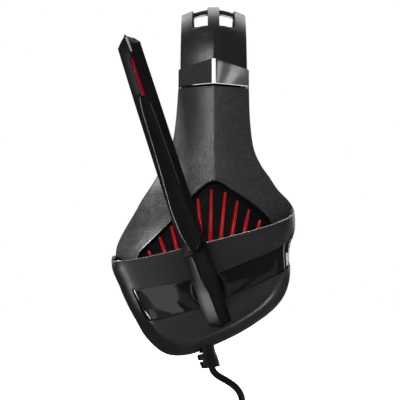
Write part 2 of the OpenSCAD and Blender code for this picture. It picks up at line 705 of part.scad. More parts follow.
// Places of the screws as shares of the cup's half width and half height
screw_places = [for (p = [[-0.78, -0.33], [0.74, -0.21], [-0.56, 0.64], [0.56, 0.64]])
    [p[0] * cup_w / 2, p[1] * cup_h / 2]];
screw_r = 1.3;
module cup_can() {
    color("#1c1c1c") cup_frame() difference() {
        union() {
            difference() {
                cup_plate(can_y, can_floor_y, can_margin);
                cup_plate(can_y - 1, can_floor_y - can_floor_t, can_margin + can_wall);
            }
            cup_rod(can_floor_y - can_floor_t, cap_y, cap_r);
            for (p = cover_posts)
                cup_rod(can_floor_y - 0.5, cup_face(p[0], p[1]) - cup_wall - 0.9, post_r, p[0], p[1]);
            for (i = [1, 2]) cup_rod(can_floor_y - 0.5, audio_board_y[0], board_post_r, cover_posts[i][0],
                cover_posts[i][1]);
            for (p = screw_places) cup_rod(can_y, can_floor_y - 0.5, post_r, p[0], p[1]);
            for (side = [-1, 1]) translate([side < 0 ? -lug[1] : lug[0], 0, 0]) {
                translate([0, -tilt_y, tilt_v]) rotate([0, 90, 0]) cylinder(h = lug[1] - lug[0], r = cheek_r);
                translate([0, -tilt_y, tilt_v - cheek_r])
                    cube([lug[1] - lug[0], tilt_y - can_floor_y + 0.5, 2 * cheek_r]);
            }
        }
        cup_rod(can_y - 1, cap_y - 1.5, magnet_r + 1.7);
        for (p = screw_places) cup_rod(can_y - 1, can_floor_y - can_floor_t, screw_r, p[0], p[1]);
        translate([-cup_w / 2, -tilt_y, tilt_v]) rotate([0, 90, 0]) cylinder(h = cup_w, r = pin_r);
    }
}

grille_r = 5.5;
grille_ring = 13.5;
module baffle() {
    color("#151515") cup_frame() difference() {
        cup_plate(baffle_y[0], baffle_y[1], can_margin);
        cup_rod(baffle_y[0] - 1, baffle_y[1] + 1, grille_r);
        for (a = [0:60:300])
            cup_rod(baffle_y[0] - 1, baffle_y[1] + 1, grille_r, grille_ring * cos(a), grille_ring * sin(a));
        for (p = screw_places) {
            cup_rod(baffle_y[0] - 1, baffle_y[1] + 1, screw_r + 0.2, p[0], p[1]);
            cup_rod(baffle_y[0] - 1, baffle_y[0] + 1.2, 2.8, p[0], p[1]);
        }
    }
}

frame_y = [can_y, can_floor_y - can_floor_t - seat];
module driver_frame() {
    color("gray") cup_frame() difference() {
        cup_rod(frame_y[0], frame_y[1], driver_r);
        cup_rod(frame_y[0] - 1, frame_y[0] + 1.9, driver_r - 2.4);
        cup_rod(frame_y[0], frame_y[1] + 1, magnet_r + seat);
    }
}
module driver_cone() {
    color("khaki") cup_frame() cup_rod(frame_y[0] + 1.2, frame_y[0] + 1.8, driver_r - 2.4 - seat);
}
module driver_magnet() {
    color("silver") cup_frame() cup_rod(frame_y[0] + 1.8 + seat, cap_y - 1.5 - seat, magnet_r);
}
cloth_t = 0.4;
cloth_y = [baffle_y[0] - seat - cloth_t, baffle_y[0] - seat];
cloth_margin = 8;
module speaker_cloth() {
    color("#303030") cup_frame() cup_plate(cloth_y[0], cloth_y[1], cloth_margin);
}

module cup_screws() {
    color("silver") cup_frame() for (p = screw_places) {
        cup_rod(baffle_y[0] + 0.1, baffle_y[0] + 1.1, 2.6, p[0], p[1]);
        cup_rod(baffle_y[0] + 1, can_floor_y - can_floor_t - 0.3, screw_r - 0.05, p[0], p[1]);
    }
}

cushion_margin = 2.5;
cushion_back = cloth_y[0] - seat;
cushion_y = cushion_back - cushion_t;
module ear_cushion() {
    // Each section round the ear is a rounded box between the ear hole and the cup's rim
    cols = 36;
    pad_points = 12;
    function ear_r(a) = 1 / norm([cos(a) / (ear_w / 2), sin(a) / (ear_h / 2)]);
    function section(a) = let (r0 = ear_r(a), r1 = rim_r(cos(a), sin(a)) - cushion_margin,
        mid = (r0 + r1) / 2, half = (r1 - r0) / 2, deep = (cushion_back - cushion_y) / 2)
        [for (k = [0:pad_points - 1]) let (b = 360 * (k + 0.5) / pad_points,
            c = cos(b), s = sin(b), q = pow(pow(abs(c), 4) + pow(abs(s), 4), -0.25))
            let (r = mid + half * c * q) [r * cos(a), -(cushion_y + deep + deep * s * q), r * sin(a)]];
    rings = [for (j = [0:cols - 1]) section(360 * j / cols)];
    color("#181818") cup_frame() polyhedron(
        points = [for (r = rings) for (p = r) p],
        faces = [for (j = [0:cols - 1]) for (k = [0:pad_points - 1])
            let (a = j * pad_points + k, b = j * pad_points + (k + 1) % pad_points,
                c = ((j + 1) % cols) * pad_points + (k + 1) % pad_points,
                d = ((j + 1) % cols) * pad_points + k)
                for (f = [[a, b, c], [a, c, d]]) f],
        convexity = 6);
}

// ---- Left cup only ----

audio_board_y = [can_floor_y + 8.5, can_floor_y + 9.7];
audio_board_u = [-7, 20];
audio_board_v = [-34, -12];
module audio_board() {
    color("green") cup_frame() difference() {
        translate([audio_board_u[0], -audio_board_y[1], audio_board_v[0]])
            cube([audio_board_u[1] - audio_board_u[0], audio_board_y[1] - audio_board_y[0],
                audio_board_v[1] - audio_board_v[0]]);
        for (i = [1, 2]) cup_rod(cup_rim_y, cup_face_y, post_r + seat, cover_posts[i][0], cover_posts[i][1]);
    }
}

// The strain relief leaves the cup's lower wall
cord_exit = [-1.2, -cord_y, -60.2];
relief_lean = 12.8;
relief_l = 22;
relief_r = [4.6, 3.6];
relief_notch = 1.3;
relief_notches = [3.4, 7.8, 12.2];
module relief_frame() {
    translate(cord_exit) rotate([0, -relief_lean, 0]) children();
}
module strain_relief() {
    color("black") relief_frame() difference() {
        cylinder(h = relief_l, r1 = relief_r[1], r2 = relief_r[0]);
        for (h = relief_notches)
            translate([-relief_r[0] - cord_d / 2 - seat, -relief_r[0], h])
                cube([relief_r[0], 2 * relief_r[0], relief_notch]);
    }
}

module mic_socket() {
    color("#202020") cup_frame() translate([hub_uv[0], 0, hub_uv[1]]) difference() {
        union() {
            cup_rod(cup_face_y + seat, boom_y - 3, flange_r);
            cup_rod(cup_face_y - 7, cup_face_y + 1, socket_r);
        }
        cup_rod(cup_face_y - 8, boom_y, spindle_r + spindle_gap);
    }
}

// ---- Microphone: frame with its origin at the hub, w across and r along the boom ----

module boom_frame() {
    translate([hub_xz[0], 0, hub_xz[1]]) rotate([0, -boom_lean, 0]) children();
}
hub_y = [boom_y - 3 + free, boom_y - seat];
module mic_hub() {
    color("#1a1a1a") boom_frame() {
        cup_rod(hub_y[0], hub_y[1], hub_r);
        cup_rod(cup_face_y - 6, hub_y[0] + 1, spindle_r);
    }
}

bend_from = 60;
function bend(r) = boom_bend * pow(max(0, r - bend_from) / (boom_up - bend_from), 2);
boom_back_t = 4;
boom_t = 10;
// Runs of the boom: distance from the hub, left edge, ridge and right edge as shares of its width
boom_stations = [-boom_down, -boom_down + 3.4, 0, 24, 50, 80, 110, 128, boom_up - 5.6, boom_up];
function boom_left(r) = r > boom_up - 5.6 ? mix(-0.5, -0.08, (r - boom_up + 5.6) / 5.6)
    : r < -boom_down + 3.4 ? mix(-0.06, -0.5, (r + boom_down) / 3.4) : -0.5;
function boom_right(r) = r > boom_up - 5.6 ? mix(0.5, 0.0, (r - boom_up + 5.6) / 5.6)
    : r < -boom_down + 3.4 ? mix(0.02, 0.5, (r + boom_down) / 3.4) : 0.5;
module boom_front() {
    y = boom_y + boom_back_t + seat;
    color("#222222") boom_frame() loft([for (r = boom_stations)
        let (l = boom_left(r) * boom_w, m = boom_right(r) * boom_w, b = bend(r))
            [[l, -y + b, r], [m, -y + b, r], [m, -y - 2 + b, r],
                [mix(l, m, 0.62), -boom_y - boom_t + b, r], [mix(l, m, 0.45), -boom_y - boom_t + b, r],
                [l, -y - 2 + b, r]]]);
}
capsule_at = boom_up - 11;
capsule_r = 4.8;
capsule_t = 2.1;
module boom_back() {
    color("#1c1c1c") boom_frame() difference() {
        loft([for (r = boom_stations)
            let (l = boom_left(r) * boom_w, m = boom_right(r) * boom_w, b = bend(r))
                [[l, -boom_y + b, r], [m, -boom_y + b, r], [m, -boom_y - boom_back_t + b, r],
                    [l, -boom_y - boom_back_t + b, r]]]);
        y = boom_y - bend(capsule_at);
        cup_rod(y + 0.9, y + boom_back_t + 1, capsule_r + seat, 0, capsule_at);
        cup_rod(y - 2, y + 2, 1, 0, capsule_at);
    }
}
module mic_capsule() {
    y = boom_y - bend(capsule_at) + 0.9 + seat;
    color("silver") boom_frame() cup_rod(y, y + capsule_t, capsule_r, 0, capsule_at);
}
// Raised strip along the boom's ridge
strip_w = 1.9;
strip_lift = 0.7;
module ridge_strip(from_tip, to_tip, at_w) {
    y = boom_y + boom_t;
    boom_frame() loft([for (r = span(boom_up - from_tip, boom_up - to_tip, 4)) let (b = bend(r))
        [[at_w - strip_w / 2, -y - seat + b, r], [at_w + strip_w / 2, -y - seat + b, r],
            [at_w + strip_w / 2, -y - strip_lift + b, r], [at_w - strip_w / 2, -y - strip_lift + b, r]]]);
}
module boom_strip() { color("red") ridge_strip(34.5, 13.5, -0.6); }
module boom_tip() { color("white") ridge_strip(10, 0.8, -0.2); }

// ---- Cord, plug and stored coil ----

coil_x = 16.4;
coil_z = -116;
// Route of the cord from the strain relief to the coil, and from the coil to the plug.
// Y is counted from the cord's exit.
cord_route = [[-1.2, 0, -60.1], [-0.4, 0, -62.2], [1.1, 0, -64.1], [3.2, 0, -65.7], [5.5, 0, -67],
    [7.9, 0, -68.4], [10.2, 0, -69.9], [12.3, 0, -71.6], [14.1, 0, -73.7], [15.4, 0, -76.1],
    [16.1, 0, -78.7], [16.4, 0, -81.5], [16.4, 0, -85.6]];
tail_route = [[33.2, -7.6, -97.5], [34.3, -11, -98.6], [35.2, -13.2, -100.7], [35.7, -14, -104],
    [35.7, -14, -108]];
module beside_exit() {
    translate([0, -cord_y, 0]) children();
}
module tube(route, r) {
    way = open_curve(route, 2);
    n = len(way) - 1;
    sides = 8;
    loft([for (i = [0:n])
        let (t = way[min(i + 1, n)] - way[max(i - 1, 0)], d = t / norm(t),
            a = cross(d, [1, 0, 0]), e = a / norm(a), f = cross(d, e))
            [for (k = [0:sides - 1]) way[i] + r * (cos(45 * k) * e + sin(45 * k) * f)]]);
}
module cord_tube() {
    color("black") beside_exit() {
        tube(cord_route, cord_d / 2);
        tube(tail_route, cord_d / 2);
    }
}
module cord_coil() {
    color("#101010") beside_exit() translate([coil_x, 0, coil_z]) rotate([90, 0, 0])
        rotate_extrude() translate([coil_r, 0]) circle(bundle_r);
}
tie_l = 8;
tie_t = 1;
module coil_tie() {
    color("#303030") beside_exit() translate([coil_x - coil_r, 0, coil_z - tie_l / 2]) difference() {
        cylinder(h = tie_l, r = bundle_r + 0.6 + tie_t);
        translate([0, 0, -1]) cylinder(h = tie_l + 2, r = bundle_r + 0.6);
    }
}
plug_at = tail_route[len(tail_route) - 1];
plug_l = 24;
plug_r = 4.4;
module plug_body() {
    color("black") beside_exit() translate(plug_at - [0, 0, plug_l]) {
        cylinder(h = plug_l - 8, r = plug_r);
        translate([0, 0, plug_l - 8]) cylinder(h = 8, r1 = plug_r - 0.6, r2 = cord_d / 2 + 0.7);
    }
}
module jack_pin() {
    color("gold") beside_exit() translate(plug_at - [0, 0, plug_l + jack_l]) {
        translate([0, 0, 1.4]) cylinder(h = jack_l - 1.4, r = jack_r);
        cylinder(h = 1.4, r1 = 0.7, r2 = jack_r);
    }
}

module mirrored() { mirror([0, 1, 0]) children(); }

band_shell();
band_liner();
band_pad();
band_spring();
band_wire();
band_screws();
ring();  // left_ring
mirrored() ring();  // right_ring
guide();  // left_guide
mirrored() guide();  // right_guide
arm_shell();  // left_arm_shell
mirrored() arm_shell();  // right_arm_shell
arm_liner();  // left_arm_liner
mirrored() arm_liner();  // right_arm_liner
rib_bezel();  // left_rib_bezel
mirrored() rib_bezel();  // right_rib_bezel
light_ribs();  // left_light_ribs
mirrored() light_ribs();  // right_light_ribs
slider();  // left_slider
mirrored() slider();  // right_slider
tilt_pins();  // left_tilt_pins
mirrored() tilt_pins();  // right_tilt_pins
light_board();  // left_light_board
mirrored() light_board();  // right_light_board
cup_cover(true);  // left_cup_cover
mirrored() cup_cover(false);  // right_cup_cover
cup_panel(true);  // left_cup_panel
mirrored() cup_panel(false);  // right_cup_panel
cup_can();  // left_cup_can
mirrored() cup_can();  // right_cup_can
baffle();  // left_baffle
mirrored() baffle();  // right_baffle
driver_frame();  // left_driver_frame
mirrored() driver_frame();  // right_driver_frame
driver_cone();  // left_driver_cone
mirrored() driver_cone();  // right_driver_cone
driver_magnet();  // left_driver_magnet
mirrored() driver_magnet();  // right_driver_magnet
speaker_cloth();  // left_speaker_cloth
mirrored() speaker_cloth();  // right_speaker_cloth
ear_cushion();  // left_ear_cushion
mirrored() ear_cushion();  // right_ear_cushion
cup_screws();  // left_cup_screws
mirrored() cup_screws();  // right_cup_screws
audio_board();
strain_relief();
mic_socket();
mic_hub();
boom_front();
boom_back();
boom_strip();
boom_tip();
mic_capsule();
cord_tube();
cord_coil();
coil_tie();
plug_body();
jack_pin();
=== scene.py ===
import bisect
import json
import math

import bpy
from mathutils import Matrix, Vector, noise
from mathutils.bvhtree import BVHTree
from mathutils.geometry import interpolate_bezier

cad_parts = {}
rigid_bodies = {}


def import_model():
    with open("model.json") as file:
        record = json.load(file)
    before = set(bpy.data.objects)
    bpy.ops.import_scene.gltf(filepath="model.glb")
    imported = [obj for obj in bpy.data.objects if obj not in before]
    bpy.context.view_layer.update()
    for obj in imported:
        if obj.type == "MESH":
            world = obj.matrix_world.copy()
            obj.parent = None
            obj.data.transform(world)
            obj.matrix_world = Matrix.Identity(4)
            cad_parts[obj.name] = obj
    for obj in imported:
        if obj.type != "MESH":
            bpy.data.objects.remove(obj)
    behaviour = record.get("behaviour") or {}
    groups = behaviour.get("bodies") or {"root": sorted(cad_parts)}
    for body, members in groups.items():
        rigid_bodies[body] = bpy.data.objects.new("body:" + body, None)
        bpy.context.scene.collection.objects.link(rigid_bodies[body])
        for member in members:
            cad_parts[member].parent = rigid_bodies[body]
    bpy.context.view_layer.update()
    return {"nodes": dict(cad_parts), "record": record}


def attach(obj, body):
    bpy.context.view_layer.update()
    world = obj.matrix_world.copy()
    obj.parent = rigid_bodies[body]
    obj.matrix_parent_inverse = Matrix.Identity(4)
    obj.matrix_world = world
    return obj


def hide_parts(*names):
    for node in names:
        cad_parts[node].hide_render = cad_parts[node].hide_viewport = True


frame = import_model()
mm = 0.001  # shapes are worked out in millimetres
print("frame loaded")


# ---- small sums that every piece uses
def mix(a, b, t):
    return a + (b - a) * t


def clamp(value, low=0.0, high=1.0):
    return max(low, min(high, value))


def ease(value, low, high):  # smooth step from 0 to 1
    t = clamp((value - low) / (high - low))
    return t * t * (3 - 2 * t)


def splineAt(points, t):  # on the smooth curve between the middle two of four points
    def one(a, b, c, d):
        bend, twist = 2 * a - 5 * b + 4 * c - d, 3 * b - a - 3 * c + d
        return 0.5 * (2 * b + (c - a) * t + bend * t * t + twist * t ** 3)
    return tuple(one(*k) for k in zip(*points))


def squircle(angle, power):  # cosine, sine and reach of a squared-off circle
    c, d = math.cos(angle), math.sin(angle)
    return c, d, (abs(c) ** power + abs(d) ** power) ** (-1 / power)


def openCurve(points, steps):
    last = len(points) - 1
    run = []
    for i in range(last):
        four = [points[max(i - 1, 0)], points[i], points[i + 1], points[min(i + 2, last)]]
        run += [splineAt(four, j / steps) for j in range(steps)]
    return run + [points[last]]


def closedCurve(points, steps):
    n = len(points)
    run = []
    for i in range(n):
        four = [points[(i + k) % n] for k in (-1, 0, 1, 2)]
        run += [splineAt(four, j / steps) for j in range(steps)]
    return run


class Table:  # straight lines between pairs of numbers
    def __init__(self, pairs):
        pairs = sorted(pairs)
        self.x = [p[0] for p in pairs]
        self.y = [p[1] for p in pairs]

    def at(self, value):
        i = bisect.bisect_right(self.x, value)
        if i == 0:
            return self.y[0]
        if i == len(self.x):
            return self.y[-1]
        t = (value - self.x[i - 1]) / (self.x[i] - self.x[i - 1])
        return mix(self.y[i - 1], self.y[i], t)


# ---- working habits: one piece picked at a time, modifiers applied at once
def deselectAll():
    if bpy.context.object and bpy.context.object.mode != "OBJECT":
        bpy.ops.object.mode_set(mode="OBJECT")
    bpy.ops.object.select_all(action="DESELECT")


def pick(piece):
    deselectAll()
    piece.select_set(True)
    bpy.context.view_layer.objects.active = piece


def finishWith(piece, kind, **settings):
    pick(piece)
    step = piece.modifiers.new(kind.title(), kind)
    for name, value in settings.items():
        setattr(step, name, value)
    bpy.ops.object.modifier_apply(modifier=step.name)


def addWall(piece, thick, even=True):  # the wall grows inwards
    finishWith(piece, "SOLIDIFY", thickness=thick * mm, offset=-1, use_even_offset=even)


def easeEdges(piece, width, segments, angle, clamped=True):
    finishWith(piece, "BEVEL", width=width * mm, segments=segments, limit_method="ANGLE",
               angle_limit=math.radians(angle), harden_normals=False, use_clamp_overlap=clamped)


def smooth(piece, angle):
    pick(piece)
    bpy.ops.object.shade_smooth_by_angle(angle=math.radians(angle))
    return piece


def placeInMesh(piece):
    pick(piece)
    bpy.ops.object.transform_apply(location=True, rotation=True, scale=True)
    return piece


def surfaceGrid(name, across, up, place):  # a grid laid on a surface, its front towards -Y
    deselectAll()
    bpy.ops.mesh.primitive_grid_add(x_subdivisions=across, y_subdivisions=up, size=2)
    sheet = bpy.context.object
    sheet.name = name
    for v in sheet.data.vertices:
        v.co = Vector(place((v.co.x + 1) / 2, (v.co.y + 1) / 2)) * mm
    return sheet


def closeUp(piece, weld=False, ends=None):  # welds double points, closes open ends, turns faces outwards
    pick(piece)
    bpy.ops.object.mode_set(mode="EDIT")
    bpy.ops.mesh.select_all(action="SELECT")
    if weld:
        bpy.ops.mesh.remove_doubles(threshold=0.00001)
    if ends:
        bpy.ops.mesh.select_all(action="DESELECT")
        bpy.ops.mesh.select_non_manifold()
        ends()
        bpy.ops.mesh.select_all(action="SELECT")
    bpy.ops.mesh.normals_make_consistent(inside=False)
    bpy.ops.object.mode_set(mode="OBJECT")
    return piece


def bridgeSheets(front, back):  # two sheets with the same grid become one closed slab
    pick(front)
    back.select_set(True)
    bpy.ops.object.join()
    return closeUp(front, ends=bpy.ops.mesh.bridge_edge_loops)


def closedTube(name, around, along, place):  # a tube whose section goes round once
    tube = surfaceGrid(name, around, along, place)
    return closeUp(tube, weld=True, ends=lambda: bpy.ops.mesh.fill_holes(sides=0))


def cutAway(piece, cutter):
    finishWith(piece, "BOOLEAN", operation="DIFFERENCE", object=cutter, solver="EXACT")
    bpy.data.objects.remove(cutter)


def mirror(piece):
    for v in piece.data.vertices:
        v.co.y = -v.co.y
    piece.data.flip_normals()


def mirrorCopy(piece, name):
    pick(piece)
    bpy.ops.object.duplicate()
    twin = bpy.context.object
    twin.name = name
    mirror(twin)
    return twin


def dress(piece, finish):
    piece.data.materials.clear()
    piece.data.materials.append(finish)


def paintHighlightOnFaces(piece, chosen):  # painted highlight: chosen fine faces of a dressed piece get a light grey finish that stands in for the highlights along their edges
    piece.data.materials.append(finishes["edge"])
    for face in piece.data.polygons:
        if chosen(face.center / mm, face.normal):
            face.material_index = len(piece.data.materials) - 1


def mount(piece, body, slot, *nodes, finish=None):
    dress(piece, finishes[finish or slot])
    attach(piece, body)
    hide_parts(*nodes)


def mountPair(piece, body, slot, node, finish=None):  # the right piece mirrors the left one
    twin = mirrorCopy(piece, piece.name.replace("left", "right"))
    pair = {"left": piece, "right": twin}
    for side, half in pair.items():
        mount(half, f"{side}_{body}", slot, f"{side}_{node}", finish=finish)
    return pair


# ---- camera and cord come first
cameraView = {"place": (-0.00215, -0.89498, 0.035), "turn": 0.4, "lens": 128.57}
deselectAll()
bpy.ops.object.camera_add(location=cameraView["place"],
                          rotation=(math.radians(90), 0, math.radians(cameraView["turn"])))
camera = bpy.context.object
camera.name = "camera"
camera.data.lens = cameraView["lens"]
camera.data.sensor_width = 36
camera.data.clip_start = 0.01
bpy.context.scene.camera = camera

cord = {"diameter": 4, "length": 2.0, "exit": (-1.2, -80, -60.2), "coilX": 16.4, "coilZ": -116, "coilR": 23,
        "turnPoints": 24, "tieHalf": 24, "startAngle": 120, "startTurn": 0.03, "endShort": 0.02,
        "samples": 7}
# out of the boot, round the bend and down beside the stored coil
cordRoute = [(-1.2, -80, -60.1), (-0.4, -80, -62.2), (1.1, -80, -64.1), (3.2, -80, -65.7), (5.5, -80, -67),
             (7.9, -80, -68.4), (10.2, -80, -69.9), (12.3, -80, -71.6), (14.1, -80, -73.7),
             (15.4, -80, -76.1), (16.1, -79, -78.7)]
cordJoin = [(16.6, -77, -82.2), (19, -75.1, -86.2), (23.6, -74.8, -89.6)]
cordTail = [(33.4, -87.4, -96.4), (34.6, -90.8, -98.6), (35.4, -93.2, -101.2), (35.7, -94, -104.4),
            (35.7, -94, -108)]
# places of the turns in the coil's section: outwards, and from the far side to the near side
coilRows = [(5.2, (3, -1, -5)), (1.73, (-7, -3, 1, 5)), (-1.73, (7, 3, -1, -5)), (-5.2, (-3, 1, 5))]
coilSlots = [(out, side) for side, outs in coilRows for out in outs]


def coilPoint(turn):  # turn counts whole turns, clockwise from just right of the top
    around = 360 * turn + cord["startAngle"]  # measured from the tie at the left
    slot = int(around // 360)
    late = around - 360 * slot
    half = cord["tieHalf"]
    here = coilSlots[min(slot, len(coilSlots) - 1)]
    if late < half and slot > 0:  # half of the step to the next place
        step, before = 0.5 + 0.5 * late / half, coilSlots[slot - 1]
    elif late > 360 - half and slot + 1 < len(coilSlots):
        step, before, here = 0.5 * (late - 360 + half) / half, here, coilSlots[slot + 1]
    else:
        step, before = 1.0, here
    step = ease(step, 0, 1)
    out, side = (mix(a, b, step) for a, b in zip(before, here))
    angle = math.radians(180 - around)
    reach = cord["coilR"] + out
    return (cord["coilX"] + reach * math.cos(angle), cord["exit"][1] + side,
            cord["coilZ"] + reach * math.sin(angle))


def buildCord():
    turns = len(coilSlots) - 1 - cord["endShort"]
    count = int(turns * cord["turnPoints"])
    start = cord["startTurn"]
    wound = [coilPoint(start + (turns - start) * i / count) for i in range(count + 1)]
    route = cordRoute + cordJoin + wound + cordTail
    line = bpy.data.curves.new("cordLine", "CURVE")
    line.dimensions = "3D"
    line.resolution_u = 4
    line.bevel_depth = cord["diameter"] / 2 * mm
    line.bevel_resolution = 3
    line.use_fill_caps = True
    run = line.splines.new("BEZIER")
    run.bezier_points.add(len(route) - 1)
    for point, place in zip(run.bezier_points, route):
        point.co = Vector(place) * mm
        point.handle_left_type = point.handle_right_type = "AUTO"
    piece = bpy.data.objects.new("cord", line)
    bpy.context.scene.collection.objects.link(piece)
    path = []
    for near, far in zip(run.bezier_points, run.bezier_points[1:]):
        path += interpolate_bezier(near.co, near.handle_right, far.handle_left, far.co, cord["samples"])[:-1]
    path.append(run.bezier_points[-1].co)
    path = [tuple(place) for place in path]
    deselectAll()
    bpy.context.view_layer.objects.active = piece
    piece.select_set(True)
    bpy.ops.object.convert(target="MESH")
    return piece, path


cordPiece, cordPath = buildCord()
print("camera and cord placed")


# ---- light, floor and backdrop
studio = {"lowGray": 0.30, "highGray": 0.40, "power": 0.14, "floorSize": 3, "floorZ": -0.149,
          "floorGray": 0.95, "floorRoughness": 0.9}


def buildStage():
    world = bpy.data.worlds.new("studio")
    bpy.context.scene.world = world
    world.use_nodes = True
    nodes, links = world.node_tree.nodes, world.node_tree.links
    lit = nodes["Background"]
    seen = nodes.new("ShaderNodeBackground")
    path = nodes.new("ShaderNodeLightPath")
    both = nodes.new("ShaderNodeMixShader")
    place = nodes.new("ShaderNodeTexCoord")
    split = nodes.new("ShaderNodeSeparateXYZ")
    ramp = nodes.new("ShaderNodeValToRGB")
    links.new(place.outputs["Generated"], split.inputs[0])
    links.new(split.outputs["Z"], ramp.inputs["Fac"])
    for stop, at, gray in zip(ramp.color_ramp.elements, (0.0, 1.0), (studio["lowGray"], studio["highGray"])):
        stop.position, stop.color = at, (gray, gray, gray, 1)
    links.new(ramp.outputs["Color"], lit.inputs["Color"])
    lit.inputs["Strength"].default_value = studio["power"]
    seen.inputs["Color"].default_value = (1, 1, 1, 1)
    seen.inputs["Strength"].default_value = 1.0
    links.new(path.outputs["Is Camera Ray"], both.inputs["Fac"])
    links.new(lit.outputs[0], both.inputs[1])
    links.new(seen.outputs[0], both.inputs[2])
    links.new(both.outputs[0], nodes["World Output"].inputs["Surface"])
    deselectAll()
    bpy.ops.mesh.primitive_plane_add(size=studio["floorSize"], location=(0, 0, studio["floorZ"]))
    floor = bpy.context.object
    floor.name = "floor"
    pale = bpy.data.materials.new("paleFloor")
    pale.use_nodes = True
    shader = pale.node_tree.nodes["Principled BSDF"]
    gray = studio["floorGray"]
    shader.inputs["Base Color"].default_value = (gray, gray, gray, 1)
    shader.inputs["Roughness"].default_value = studio["floorRoughness"]
    shader.inputs["Emission Color"].default_value = (1, 1, 1, 1)
    shader.inputs["Emission Strength"].default_value = 1.0
    floor.data.materials.append(pale)
    floor.visible_diffuse = False
    floor.visible_glossy = False
    floor.visible_shadow = False


softLights = {
    # name: compass angle from the front (positive to the right), height angle, distance, aim height,
    # size across and up, power
    "topBox": (180, 37, 1.1, 0.12, (1.1, 0.6), 3.6),
    "bandBox": (-32, 63, 1.1, 0.11, (0.14, 0.18), 2.4),
    "keyBox": (-15, 30, 1.25, 0.07, (0.07, 0.20), 1.5),
    "creaseBox": (-3, 29, 1.25, 0.07, (0.06, 0.20), 1.1),
    "sideGlow": (-30, -1, 1.2, 0.0, (1.05, 0.60), 1.2),
    "floorGlow": (4, -33, 1.1, 0.0, (1.80, 1.10), 0.9),
    "boomBox": (-51, -15, 1.2, 0.0, (0.18, 0.30), 3.2),
    "leftBox": (-84, 10, 1.3, 0.02, (0.20, 0.80), 0.3),
    "rightBox": (84, 5, 1.3, 0.02, (0.20, 0.80), 1.0),
    "backLeft": (-125, 15, 1.4, 0.0, (0.9, 0.9), 7.0),
    "backRight": (125, 15, 1.4, 0.0, (0.9, 0.9), 7.0),
    "backMiddle": (180, -5, 1.4, 0.0, (0.9, 0.9), 7.0),
    "lowRight": (60, -40, 1.1, 0.0, (0.60, 0.40), 6.0),
}
# seen by the chrome rings alone: sideways place as a share of the distance, height angle, distance,
# width, power
ringStrips = {
    "ridgeStrip": (0.0, 50, 1.0, 0.06, 0.26),
    "facetWide": (0.49, 48, 1.1, 0.30, 0.035),
    "facetNear": (0.427, 48, 0.95, 0.06, 0.034),
    "facetFar": (0.545, 48, 0.95, 0.045, 0.034),
    "rimGlow": (0.0, -22, 1.0, 2.0, 4.5),
}
ringStripLong = 0.52
# seen by the boom alone, for the fine lines along its ridges and a soft fill
edgeStrips = {
    "ridgeLineLeft": (-48, 6, 1.1, 0.0, (0.10, 0.40), 0.7),
    "ridgeLineRight": (46, 4, 1.1, 0.0, (0.08, 0.40), 0.12),
    "boomFill": (-4, -30, 1.3, 0.0, (1.8, 1.1), 0.5),
}
# seen by the arm shells alone, for the bright strip beside the recess
flareStrips = {
    "flareBox": (-42, 14, 1.25, 0.02, (0.22, 0.14), 12.0),
}
# seen from above by the covers, the arm shells and the boom's front
lipBox = {"place": (-0.05, -0.14, 1.2), "size": (0.8, 0.16), "power": 5}
aimY, ringAimZ = -0.07, 0.11


def addSoftLight(name, place, turn, size, power):
    deselectAll()
    bpy.ops.object.light_add(type="AREA", location=place)
    lamp = bpy.context.object
    lamp.name = name
    lamp.data.shape = "RECTANGLE"
    lamp.data.size, lamp.data.size_y = size
    lamp.data.energy = power
    lamp.rotation_euler = turn.to_track_quat("-Z", "Y").to_euler()
    return lamp


def buildLights(rows):
    made = []
    for name, (compass, height, far, aim, size, power) in rows.items():
        a, e = math.radians(compass), math.radians(height)
        way = Vector((math.sin(a) * math.cos(e), -math.cos(a) * math.cos(e), math.sin(e)))
        made.append(addSoftLight(name, Vector((0, aimY, aim)) + way * far, -way, size, power))
    return made


def linkLamp(lamp, pieces, leftOut=False):  # a lamp that lights only these pieces, or all but these
    group = bpy.data.collections.new(lamp.name + "Group")
    for piece in pieces:
        group.objects.link(piece)
    if leftOut:
        for member in group.collection_objects:
            member.light_linking.link_state = "EXCLUDE"
    lamp.light_linking.receiver_collection = group


def linkLights(rings, boomPieces, edged):
    for name in softLights:  # the rings see none of these, the boom sees two
        spared = rings if name in ("boomBox", "topBox") else rings + boomPieces
        linkLamp(bpy.data.objects[name], spared, leftOut=True)
    down = Vector((0, 0, -1))
    linkLamp(addSoftLight("lipBox", Vector(lipBox["place"]), down, lipBox["size"], lipBox["power"]), edged)
    for name, (sideways, height, far, width, power) in ringStrips.items():
        e = math.radians(height)
        way = Vector((0, -math.cos(e), math.sin(e)))
        place = Vector((sideways * far, aimY, ringAimZ)) + way * far
        linkLamp(addSoftLight(name, place, -way, (width, ringStripLong), power), rings)
    for lamp in buildLights(edgeStrips):
        linkLamp(lamp, boomPieces)
    for lamp in buildLights(flareStrips):
        linkLamp(lamp, [piece for piece in edged if "ArmShell" in piece.name])


buildStage()
buildLights(softLights)
bpy.context.scene.view_settings.view_transform = "Standard"
print("stage and lights placed")


# ---- finishes
finishes = {}
mottleSpan = (0.3, 0.7)  # the noise values that a mottle takes from low to high


